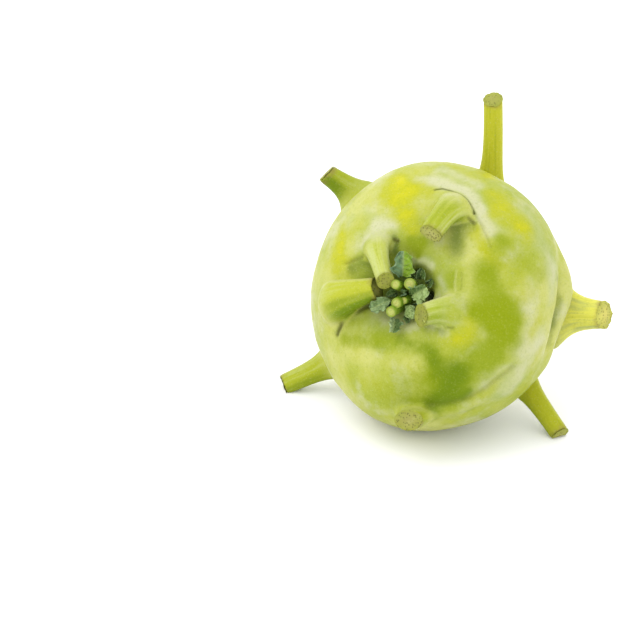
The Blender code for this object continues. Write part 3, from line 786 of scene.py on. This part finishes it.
def noiseNode(tree, vector, scale, detail=3.0, roughness=0.5):
    node = addNode(tree, "ShaderNodeTexNoise", Scale=scale, Detail=detail, Roughness=roughness)
    tree.links.new(vector, node.inputs["Vector"])
    return node.outputs["Fac"]


def rangeNode(tree, value, low, high, toLow=0.0, toHigh=1.0):
    node = tree.nodes.new("ShaderNodeMapRange")
    node.interpolation_type = "SMOOTHSTEP"
    tree.links.new(value, node.inputs["Value"])
    node.inputs["From Min"].default_value = low
    node.inputs["From Max"].default_value = high
    node.inputs["To Min"].default_value = toLow
    node.inputs["To Max"].default_value = toHigh
    return node.outputs["Result"]


def bumpNode(tree, height, strength, distance, before=None):
    node = addNode(tree, "ShaderNodeBump", Strength=strength, Distance=distance)
    tree.links.new(height, node.inputs["Height"])
    if before is not None:
        tree.links.new(before, node.inputs["Normal"])
    return node.outputs["Normal"]


def objectPlace(tree):
    return addNode(tree, "ShaderNodeTexCoord").outputs["Object"]


def dots(tree, place, scale, far, near):
    node = addNode(tree, "ShaderNodeTexVoronoi", Scale=scale)
    tree.links.new(place, node.inputs["Vector"])
    return rangeNode(tree, node.outputs["Distance"], far, near)


skinColours = {
    "pale": (0.45, 0.46, 0.13),
    "paleGreen": (0.33, 0.37, 0.045),
    "midGreen": (0.25, 0.31, 0.03),
    "yellow": (0.52, 0.49, 0.010),
    "olive": (0.37, 0.385, 0.010),
    "green": (0.205, 0.26, 0.0),
    "deepGreen": (0.115, 0.18, 0.0),
    "bloom": (0.48, 0.485, 0.30),
    "greyBloom": (0.36, 0.41, 0.20),
    "shade": (0.115, 0.16, 0.022),
    "fold": (0.07, 0.075, 0.010),
    "paleHighlight": (0.50, 0.50, 0.24),
    "hollow": (0.048, 0.088, 0.012),
    "pit": (0.015, 0.022, 0.006),
    "shaft": (0.29, 0.35, 0.030),
    "shaftYellow": (0.35, 0.36, 0.006),
    "shaftPale": (0.43, 0.47, 0.16),
    "shaftBright": (0.82, 0.78, 0.13),
    "shaftGreen": (0.13, 0.20, 0.003),
    "cutBrown": (0.24, 0.18, 0.06),
    "root": (0.38, 0.34, 0.20),
    "rootBrown": (0.17, 0.12, 0.06),
}

skinShine = {"Specular IOR Level": 0.09, "Subsurface Weight": 0.10, "Subsurface Scale": 0.0025}


def skinMaterial():
    colours = skinColours
    material, tree, shader = nodeTree("kohlrabi_skin")
    place = objectPlace(tree)
    flow = readVector(tree, "skinFlow")
    broad = noiseNode(tree, place, 32.0, 4.0, 0.55)
    mottle = noiseNode(tree, place, 170.0, 5.0, 0.62)
    fine = noiseNode(tree, place, 620.0, 4.0, 0.6)
    streak = noiseNode(tree, flow, 5.0, 5.0, 0.6)

    colour = mixColour(tree, rangeNode(tree, broad, 0.38, 0.58), colours["pale"], colours["paleGreen"])
    colour = mixColour(tree, rangeNode(tree, broad, 0.54, 0.72), colour, colours["midGreen"])
    colour = mixColour(tree, rangeNode(tree, mottle, 0.42, 0.68, 0.0, 0.35), colour, colours["olive"])

    def stroke(name, spread, low, high):
        ragged = mathNode(tree, "MULTIPLY", mathNode(tree, "SUBTRACT", mottle, 0.5), spread)
        return rangeNode(tree, mathNode(tree, "ADD", readValue(tree, name), ragged), low, high)

    crownPart = mathNode(tree, "MULTIPLY", readValue(tree, "crownGreen"), rangeNode(tree, broad, 0.3, 0.6, 0.4, 0.85))
    colour = mixColour(tree, crownPart, colour, colours["midGreen"])
    drift = noiseNode(tree, place, 75.0, 5.0, 0.6)
    wash = rangeNode(tree, drift, 0.48, 0.70, 0.0, 0.6)
    bloomTone = mixColour(tree, rangeNode(tree, drift, 0.40, 0.60), colours["greyBloom"], colours["bloom"])
    colour = mixColour(tree, wash, colour, bloomTone)
    colour = mixColour(tree, rangeNode(tree, streak, 0.55, 0.80, 0.0, 0.18), colour, colours["bloom"])
    bloom = stroke("bloomStroke", 0.6, 0.05, 0.95)
    whiteTone = mixColour(tree, rangeNode(tree, bloom, 0.3, 1.0), bloomTone, colours["bloom"])
    colour = mixColour(tree, mathNode(tree, "MULTIPLY", bloom, 0.92), colour, whiteTone)
    yellowTone = mixColour(tree, stroke("yellowStroke", 1.3, 0.55, 1.35), colours["olive"], colours["yellow"])
    colour = mixColour(tree, stroke("yellowStroke", 0.8, 0.05, 0.85), colour, yellowTone)
    greenTone = mixColour(tree, rangeNode(tree, broad, 0.36, 0.60, 0.0, 0.35), colours["green"], colours["midGreen"])
    greenTone = mixColour(tree, stroke("deepStroke", 0.6, 0.15, 1.0), greenTone, colours["deepGreen"])
    green = stroke("greenStroke", 0.7, 0.05, 0.95)
    colour = mixColour(tree, green, colour, greenTone)
    colour = mixColour(tree, stroke("shadeStroke", 0.4, 0.10, 0.95), colour, colours["shade"])

    shaft = readValue(tree, "shaftPart")
    stripes = noiseNode(tree, readVector(tree, "shaftFlow"), 2.6, 3.0, 0.5)
    shaftTone = mixColour(tree, readValue(tree, "shaftYellow"), colours["shaft"], colours["shaftYellow"])
    shaftTone = mixColour(tree, readValue(tree, "shaftBright"), shaftTone, colours["shaftBright"])
    paleShare = mathNode(tree, "ADD", readValue(tree, "shaftPale"), rangeNode(tree, stripes, 0.35, 0.68, -0.3, 0.35))
    shaftTone = mixColour(tree, rangeNode(tree, paleShare, 0.05, 1.1), shaftTone, colours["shaftPale"])
    shaftTone = mixColour(tree, rangeNode(tree, stripes, 0.46, 0.30, 0.0, 0.22), shaftTone, colours["shaftGreen"])
    colour = mixColour(tree, shaft, colour, shaftTone)
    # painted shade on the undersides of the stalks, and a painted highlight along their tops
    colour = mixColour(tree, readValue(tree, "shaftUnderShade"), colour, colours["shaftGreen"])
    colour = mixColour(tree, mathNode(tree, "MULTIPLY", readValue(tree, "shaftTopHighlight"), 0.7), colour, colours["paleHighlight"])
    browning = mathNode(tree, "MULTIPLY", readValue(tree, "nearCut"), rangeNode(tree, mottle, 0.35, 0.6))
    colour = mixColour(tree, mathNode(tree, "MULTIPLY", browning, 0.7), colour, colours["cutBrown"])

    # painted shade in the crown hollow
    colour = mixColour(tree, mathNode(tree, "MULTIPLY", readValue(tree, "crownHollow"), 0.9), colour, colours["hollow"])
    # painted shade: the deep pits are coloured nearly black
    colour = mixColour(tree, rangeNode(tree, readValue(tree, "deepPitShade"), 0.1, 0.6), colour, colours["pit"])
    # painted shade in grooves and creases; a paler tone, partly painted highlight, on ridges
    fold = readValue(tree, "foldShadeAndHighlight")
    colour = mixColour(tree, rangeNode(tree, fold, 0.08, 0.95), colour, colours["fold"])
    colour = mixColour(tree, rangeNode(tree, fold, -0.05, -0.6, 0.0, 0.8), colour, colours["paleHighlight"])
    rootTone = mixColour(tree, rangeNode(tree, mottle, 0.42, 0.6), colours["root"], colours["rootBrown"])
    colour = mixColour(tree, readValue(tree, "rootPart"), colour, rootTone)

    # tiny pale pores and darker flecks
    pore = dots(tree, place, 950.0, 0.28, 0.12)
    paler = mathNode(tree, "MULTIPLY", pore, rangeNode(tree, green, 0.0, 1.0, 0.14, 0.03))
    colour = mixColour(tree, paler, colour, colours["bloom"])
    colour = mixColour(tree, rangeNode(tree, fine, 0.56, 0.76, 0.0, 0.28), colour, colours["green"])
    grain = noiseNode(tree, place, 1500.0, 3.0, 0.7)
    colour = mixColour(tree, rangeNode(tree, grain, 0.50, 0.72, 0.0, 0.22), colour, colours["deepGreen"])
    colour = mixColour(tree, rangeNode(tree, grain, 0.48, 0.28, 0.0, 0.20), colour, colours["pale"])
    tree.links.new(colour, shader.inputs["Base Color"])

    gloss = mathNode(tree, "ADD", mathNode(tree, "MULTIPLY", bloom, 0.14), rangeNode(tree, fine, 0.3, 0.7, 0.34, 0.48))
    tree.links.new(gloss, shader.inputs["Roughness"])
    for name, value in skinShine.items():
        shader.inputs[name].default_value = value
    shader.inputs["Subsurface Radius"].default_value = (0.6, 0.8, 0.25)
    normal = bumpNode(tree, streak, 0.16, 0.0006)
    normal = bumpNode(tree, mottle, 0.25, 0.0005, normal)
    normal = bumpNode(tree, fine, 0.35, 0.00010, normal)
    normal = bumpNode(tree, pore, 0.25, 0.00005, normal)
    tree.links.new(normal, shader.inputs["Normal"])
    return material


cutColours = {
    "flesh": (0.42, 0.42, 0.13),
    "fleshDark": (0.085, 0.125, 0.003),
    "fleshBright": (0.78, 0.72, 0.17),
    "vessel": (0.44, 0.43, 0.17),
    "brown": (0.27, 0.215, 0.06),
    "hole": (0.09, 0.08, 0.02),
    "rim": (0.27, 0.31, 0.03),
}


def cutMaterial():
    colours = cutColours
    material, tree, shader = nodeTree("stalk_cut")
    place = objectPlace(tree)
    grain = noiseNode(tree, place, 1500.0, 4.0, 0.65)
    blotch = noiseNode(tree, place, 520.0, 3.0, 0.6)
    fibres = dots(tree, place, 1150.0, 0.42, 0.16)
    colour = mixColour(tree, readValue(tree, "cutDark"), colours["flesh"], colours["fleshDark"])
    colour = mixColour(tree, readValue(tree, "cutBright"), colour, colours["fleshBright"])
    dry = readValue(tree, "cutDry")
    brown = mathNode(tree, "MULTIPLY", readValue(tree, "cutBrown"), dry)
    colour = mixColour(tree, brown, colour, colours["brown"])
    light = rangeNode(tree, readValue(tree, "cutDark"), 0.0, 1.0, 0.5, 0.12)
    colour = mixColour(tree, mathNode(tree, "MULTIPLY", readValue(tree, "cutVessel"), light), colour, colours["vessel"])
    speckle = mathNode(tree, "MULTIPLY", rangeNode(tree, blotch, 0.48, 0.66), light)
    colour = mixColour(tree, speckle, colour, colours["vessel"])
    colour = mixColour(tree, mathNode(tree, "MULTIPLY", readValue(tree, "cutRim"), 0.6), colour, colours["rim"])
    hole = mathNode(tree, "MULTIPLY", fibres, rangeNode(tree, dry, 0.0, 1.0, 0.25, 0.9))
    colour = mixColour(tree, hole, colour, colours["hole"])
    tree.links.new(colour, shader.inputs["Base Color"])
    tree.links.new(rangeNode(tree, blotch, 0.3, 0.7, 0.55, 0.8), shader.inputs["Roughness"])
    shader.inputs["Specular IOR Level"].default_value = 0.15
    normal = bumpNode(tree, grain, 0.7, 0.00025)
    normal = bumpNode(tree, fibres, -0.6, 0.0003, normal)
    tree.links.new(normal, shader.inputs["Normal"])
    return material


youngForm = {"length": 0.0145, "sides": 28, "rings": 16, "ribHeight": 0.05, "bend": 0.0012, "widening": 0.28}
youngColours = {
    "side": (0.15, 0.25, 0.012),
    "sideShade": (0.07, 0.14, 0.006),
    "tip": (0.38, 0.42, 0.10),
    "tipRing": (0.22, 0.30, 0.03),
    "tipBrown": (0.26, 0.22, 0.06),
}


def youngStalkPiece(material):
    made = bmesh.new()
    for name in ("youngTip", "youngRing", "youngFootShade"):
        made.verts.layers.float.new(name)
    for number, stalk in enumerate(youngStalks):
        tip = mm * Vector((stalk["x"], stalk["y"], stalk["height"]))
        lean = Vector((stalk["lean"][0], stalk["lean"][1], 1.0)).normalized()
        sideways = Vector((0.0, 1.0, 0.0)).cross(lean).normalized()
        inward = lean.cross(sideways)
        radius = mm * stalk["radius"]
        tube = bmesh.new()
        bmesh.ops.create_cone(tube, cap_ends=True, segments=youngForm["sides"], radius1=1.0, radius2=1.0, depth=1.0)
        walls = [edge for edge in tube.edges if abs(edge.verts[0].co.z - edge.verts[1].co.z) > 0.5]
        bmesh.ops.subdivide_edges(tube, edges=walls, cuts=youngForm["rings"])
        top = [face for face in tube.faces if face.calc_center_median().z > 0.49]
        for thickness in (0.04, 0.14, 0.2, 0.2, 0.2):
            bmesh.ops.inset_region(tube, faces=top, thickness=thickness, depth=0.0)
        bmesh.ops.poke(tube, faces=top)
        tips, ring, depth = (tube.verts.layers.float.new(name) for name in ("youngTip", "youngRing", "youngFootShade"))
        for vertex in tube.verts:
            share = vertex.co.z + 0.5
            angle = math.atan2(vertex.co.y, vertex.co.x)
            out = math.hypot(vertex.co.x, vertex.co.y)
            bend = youngForm["bend"] * (1 - share) ** 2
            centre = tip - lean * youngForm["length"] * (1 - share) - Vector((lean.x, lean.y, 0.0)) * bend
            wide = radius * (1 + youngForm["widening"] * (1 - share))
            wide *= 1.0 + youngForm["ribHeight"] * math.cos(5 * angle + number) * (1 - share ** 6)
            onTop = share > 0.999
            lift = 0.0
            if onTop:
                lift = 0.00012 * noise.noise(Vector((vertex.co.x * 3, vertex.co.y * 3, number * 5.0)))
                lift += 0.00022 * math.exp(-((out - 0.45) / 0.2) ** 2) - 0.00025 * (1 - float(smoothStep(0.75, 1.0, out)))
            place = centre + sideways * (out * wide * math.cos(angle)) + inward * (out * wide * math.sin(angle))
            vertex[tips] = 1.0 if onTop and out < 0.97 else 0.0
            vertex[ring] = float(smoothStep(0.5, 0.8, out)) if onTop else 0.0
            # painted shade: the stalk sides darken towards their feet deep in the crown
            vertex[depth] = float(smoothStep(0.95, 0.55, share))
            vertex.co = place + lean * lift
        addMesh(made, tube)
    piece = finishObject("young_stalks", made, material)
    layDown(piece)
    return piece


def youngMaterial():
    colours = youngColours
    material, tree, shader = nodeTree("young_stalk")
    place = objectPlace(tree)
    blotch = noiseNode(tree, place, 600.0, 4.0, 0.6)
    grain = noiseNode(tree, place, 2200.0, 3.0, 0.6)
    # painted shade towards the feet of the young stalks
    colour = mixColour(tree, readValue(tree, "youngFootShade"), colours["side"], colours["sideShade"])
    colour = mixColour(tree, rangeNode(tree, blotch, 0.45, 0.7, 0.0, 0.5), colour, colours["tipRing"])
    tipTone = mixColour(tree, readValue(tree, "youngRing"), colours["tip"], colours["tipRing"])
    tipTone = mixColour(tree, rangeNode(tree, grain, 0.48, 0.68, 0.0, 0.6), tipTone, colours["tipBrown"])
    colour = mixColour(tree, readValue(tree, "youngTip"), colour, tipTone)
    tree.links.new(colour, shader.inputs["Base Color"])
    tree.links.new(rangeNode(tree, grain, 0.3, 0.7, 0.42, 0.6), shader.inputs["Roughness"])
    shader.inputs["Specular IOR Level"].default_value = 0.2
    shader.inputs["Subsurface Weight"].default_value = 0.1
    shader.inputs["Subsurface Scale"].default_value = 0.0015
    normal = bumpNode(tree, grain, 0.5, 0.00012)
    normal = bumpNode(tree, blotch, 0.4, 0.0002, normal)
    tree.links.new(normal, shader.inputs["Normal"])
    return material


# the small leaves of the crown, mm in the upright stem; tone is how much painted shade, bright green and pale each half
# has, the pale partly painted highlight
crownLeaves = {
    "crown_leaf_top": dict(foot=(0.6, 3.0, 32.6), tip=(0.3, 10.8, 36.4), face=(0.4, -0.3, 0.8), width=9.2, cup=0.9,
                           curl=0.8, waves=2.0, phase=0.4, toneLeft=(0.1, 0.0, 0.15), toneRight=(0.0, 0.9, 0.0)),
    "crown_leaf_right": dict(foot=(5.8, -2.7, 32.8), tip=(10.9, 0.7, 35.0), face=(0.45, -0.3, 0.85), width=7.8,
                             cup=0.5, curl=0.9, waves=2.5, phase=1.7, toneLeft=(0.8, 0.2, 0.0),
                             toneRight=(0.0, 0.6, 0.6)),
    "crown_leaf_left": dict(foot=(-1.3, -5.9, 33.0), tip=(-7.0, -10.7, 34.2), face=(0.5, 0.1, 0.9), width=5.2,
                            cup=0.8, curl=0.6, waves=2.5, phase=2.6, toneLeft=(0.1, 0.1, 0.5),
                            toneRight=(0.3, 0.2, 0.3)),
    "crown_leaf_low": dict(foot=(1.8, -11.4, 31.6), tip=(3.2, -16.0, 33.6), face=(0.6, 0.2, 0.8), width=5.2, cup=0.8,
                           curl=0.6, waves=2.0, phase=3.3, toneLeft=(0.5, 0.2, 0.1), toneRight=(0.0, 0.1, 0.8)),
    "crown_leaf_front": dict(foot=(5.4, -6.0, 32.3), tip=(7.9, -10.0, 31.8), face=(0.45, -0.1, 0.9), width=4.6,
                             cup=0.5, curl=0.5, waves=2.0, phase=4.1, toneLeft=(0.0, 0.5, 0.7),
                             toneRight=(0.0, 0.6, 0.5)),
    "crown_leaf_inner": dict(foot=(2.3, -2.6, 32.6), tip=(4.1, -2.0, 35.2), face=(-0.5, -0.3, 0.8), width=2.4,
                             cup=0.6, curl=0.5, waves=2.0, phase=5.2, toneLeft=(0.6, 0.2, 0.0),
                             toneRight=(0.8, 0.0, 0.0)),
}

# very small leaves deep in the heart of the crown, coloured dark as painted shade
heartLeaves = [
    dict(foot=(5.4, 4.0, 29.6), tip=(6.6, 7.0, 32.0), face=(0.4, -0.3, 0.8), width=3.4, phase=0.9),
    dict(foot=(-0.8, -2.8, 30.6), tip=(-3.0, -4.8, 33.2), face=(0.4, 0.2, 0.9), width=2.8, phase=2.2),
    dict(foot=(6.8, -5.4, 29.2), tip=(9.0, -5.0, 31.2), face=(0.4, -0.2, 0.9), width=3.0, phase=3.1),
    dict(foot=(4.6, -10.0, 29.6), tip=(6.4, -11.4, 31.4), face=(0.4, 0.1, 0.9), width=3.0, phase=4.4),
    dict(foot=(2.6, 2.6, 30.0), tip=(3.4, 5.2, 32.0), face=(0.4, -0.4, 0.8), width=2.6, phase=5.0),
    dict(foot=(0.0, -6.6, 30.0), tip=(-2.4, -7.4, 32.0), face=(0.4, 0.2, 0.9), width=2.6, phase=5.9),
    dict(foot=(8.4, 2.6, 28.8), tip=(10.4, 4.2, 30.4), face=(0.3, -0.3, 0.9), width=2.8, phase=0.2),
]
heartLook = dict(cup=0.9, curl=0.8, waves=2.0, toneLeft=(0.9, 0.1, 0.0), toneRight=(0.7, 0.3, 0.0))

leafForm = {"columns": 56, "rows": 26, "thickness": 0.00042, "wave": 0.17, "teeth": 7, "crinkle": 0.0010}
leafColours = {
    "blueGreen": (0.12, 0.24, 0.13),
    "blueDark": (0.035, 0.095, 0.040),
    "dark": (0.014, 0.040, 0.008),
    "bright": (0.22, 0.35, 0.010),
    "pale": (0.42, 0.52, 0.23),
    "vein": (0.34, 0.43, 0.14),
    "edge": (0.28, 0.38, 0.20),
}
leafLayers = ("leafVein", "leafEdge", "leafShade", "leafBright", "leafPaleHighlight")


# a crinkled leaf with a toothed edge, cupped along its midrib
def leafBlade(target, leaf):
    blade = bmesh.new()
    bmesh.ops.create_grid(blade, x_segments=leafForm["columns"], y_segments=leafForm["rows"], size=0.5)
    foot = mm * Vector(leaf["foot"])
    midrib = mm * Vector(leaf["tip"]) - foot
    length, width = midrib.length, mm * leaf["width"]
    ahead = midrib.normalized()
    sideways = ahead.cross(Vector(leaf["face"])).normalized()
    face = sideways.cross(ahead).normalized()
    layers = [blade.verts.layers.float.new(name) for name in leafLayers]
    seed = leaf["phase"] * 9.1
    for vertex in blade.verts:
        along = vertex.co.x + 0.5
        across = 2.0 * vertex.co.y
        side = abs(across)
        outline = math.sin(math.pi * (0.08 + 0.80 * along)) ** 0.8
        tooth = abs(math.sin(math.pi * leafForm["teeth"] * along * 0.5 + (0.8 if across > 0 else 0.0)))
        notch = 0.76 + 0.14 * tooth + 0.55 * noise.noise(Vector((along * 5, across * 0.6, seed)))
        half = 0.5 * width * outline * (1.0 + (min(max(notch, 0.5), 1.0) - 1.0) * side ** 3)
        wave = math.sin(2 * math.pi * leaf["waves"] * along + leaf["phase"] + 0.9 * across)
        rise = leaf["cup"] * half * across * across
        rise += leafForm["wave"] * width * side ** 1.5 * along * wave
        rise -= 0.25 * leaf["curl"] * length * (along - 0.3) ** 2
        branch = (along - 0.38 * side) * 5.0
        toBranch = abs(branch - round(branch))
        vein = max(math.exp(-(side / 0.09) ** 2), 0.8 * math.exp(-(toBranch / 0.11) ** 2) * (1 - 0.4 * side))
        crinkle = noise.noise(Vector((along * 8, across * 5, seed + 3)))
        rise += leafForm["crinkle"] * crinkle * (0.4 + side) - 0.00018 * vein
        vertex.co = foot + ahead * (length * along) + sideways * (half * across) + face * rise
        tone = leaf["toneRight"] if across > 0 else leaf["toneLeft"]
        for layer, value in zip(layers, (vein, float(smoothStep(0.82, 1.0, side)), *tone)):
            vertex[layer] = value
    bmesh.ops.solidify(blade, geom=blade.faces[:], thickness=leafForm["thickness"])
    bmesh.ops.recalc_face_normals(blade, faces=blade.faces)
    addMesh(target, blade)


def leafPiece(name, leaves, material):
    made = bmesh.new()
    for layer in leafLayers:
        made.verts.layers.float.new(layer)
    for leaf in leaves:
        leafBlade(made, leaf)
    piece = finishObject(name, made, material)
    layDown(piece)
    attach(piece, "root")
    return piece


def leafMaterial():
    colours = leafColours
    material, tree, shader = nodeTree("crown_leaf")
    place = objectPlace(tree)
    blotch = noiseNode(tree, place, 420.0, 4.0, 0.6)
    grain = noiseNode(tree, place, 1900.0, 3.0, 0.6)
    colour = mixColour(tree, rangeNode(tree, blotch, 0.36, 0.66), colours["blueDark"], colours["blueGreen"])
    # painted shade on the dark halves; the pale halves are partly painted highlight
    colour = mixColour(tree, mathNode(tree, "MULTIPLY", readValue(tree, "leafShade"), 0.9), colour, colours["dark"])
    colour = mixColour(tree, readValue(tree, "leafBright"), colour, colours["bright"])
    pale = mathNode(tree, "MULTIPLY", readValue(tree, "leafPaleHighlight"), rangeNode(tree, blotch, 0.3, 0.6, 0.6, 1.0))
    colour = mixColour(tree, pale, colour, colours["pale"])
    colour = mixColour(tree, rangeNode(tree, grain, 0.52, 0.72, 0.0, 0.3), colour, colours["blueGreen"])
    colour = mixColour(tree, mathNode(tree, "MULTIPLY", readValue(tree, "leafVein"), 0.6), colour, colours["vein"])
    colour = mixColour(tree, mathNode(tree, "MULTIPLY", readValue(tree, "leafEdge"), 0.4), colour, colours["edge"])
    tree.links.new(colour, shader.inputs["Base Color"])
    tree.links.new(rangeNode(tree, grain, 0.3, 0.7, 0.5, 0.68), shader.inputs["Roughness"])
    shader.inputs["Specular IOR Level"].default_value = 0.25
    normal = bumpNode(tree, readValue(tree, "leafVein"), 0.6, 0.0003)
    normal = bumpNode(tree, blotch, 0.5, 0.0003, normal)
    normal = bumpNode(tree, grain, 0.4, 0.0001, normal)
    tree.links.new(normal, shader.inputs["Normal"])
    return material


studio = {
    "floorSize": 3.0,
    "floorDrop": -0.00005,
    "floorColour": (0.93, 0.93, 0.98),
    "skyStrength": 1.5,
    "sunStrength": 0.75,
    "sunWidth": 50.0,
    "sunFrom": (-0.55, -0.10, 0.83),
}


def makeStudio():
    floorMesh = bmesh.new()
    bmesh.ops.create_grid(floorMesh, x_segments=4, y_segments=4, size=studio["floorSize"])
    bmesh.ops.translate(floorMesh, verts=floorMesh.verts, vec=(0, 0, studio["floorDrop"]))
    material, tree, shader = nodeTree("pale_floor")
    grain = noiseNode(tree, objectPlace(tree), 60.0, 3.0, 0.5)
    pale = studio["floorColour"]
    slightlyDarker = tuple(value * 0.985 for value in pale)
    tree.links.new(mixColour(tree, grain, pale, slightlyDarker), shader.inputs["Base Color"])
    shader.inputs["Roughness"].default_value = 0.8
    shader.inputs["Specular IOR Level"].default_value = 0.1
    finishObject("floor", floorMesh, material)

    scene = bpy.context.scene
    world = bpy.data.worlds.new("studio")
    world.use_nodes = True
    backdrop = world.node_tree.nodes["Background"]
    backdrop.inputs["Color"].default_value = (1.0, 1.0, 1.0, 1.0)
    backdrop.inputs["Strength"].default_value = studio["skyStrength"]
    scene.world = world
    scene.view_settings.view_transform = "Standard"

    key = bpy.data.lights.new("key", "SUN")
    key.energy = studio["sunStrength"]
    key.angle = math.radians(studio["sunWidth"])
    lamp = bpy.data.objects.new("key", key)
    lamp.rotation_euler = Vector(studio["sunFrom"]).to_track_quat("Z", "Y").to_euler()
    scene.collection.objects.link(lamp)


makeCamera()
makeStudio()
print("camera and studio ready")

axes = [stalkAxis(stalk) for stalk in oldStalks]
scatterHiddenStrokes()
skin = kohlrabiSkin(axes, skinMaterial())
dressSkin(skin, axes)
print("skin:", len(skin.data.polygons), "faces")
for piece in (skin, stalkCuts(axes, cutMaterial()), youngStalkPiece(youngMaterial())):
    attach(piece, "root")
    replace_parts(piece, "swollen_stem")
print("cut faces and young stalks made")

leafGreen = leafMaterial()
for name, leaf in crownLeaves.items():
    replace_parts(leafPiece(name + "_blade", [leaf], leafGreen), name)
leafPiece("heart_leaves", [dict(heartLook, **leaf) for leaf in heartLeaves], leafGreen)
print("crown leaves made")
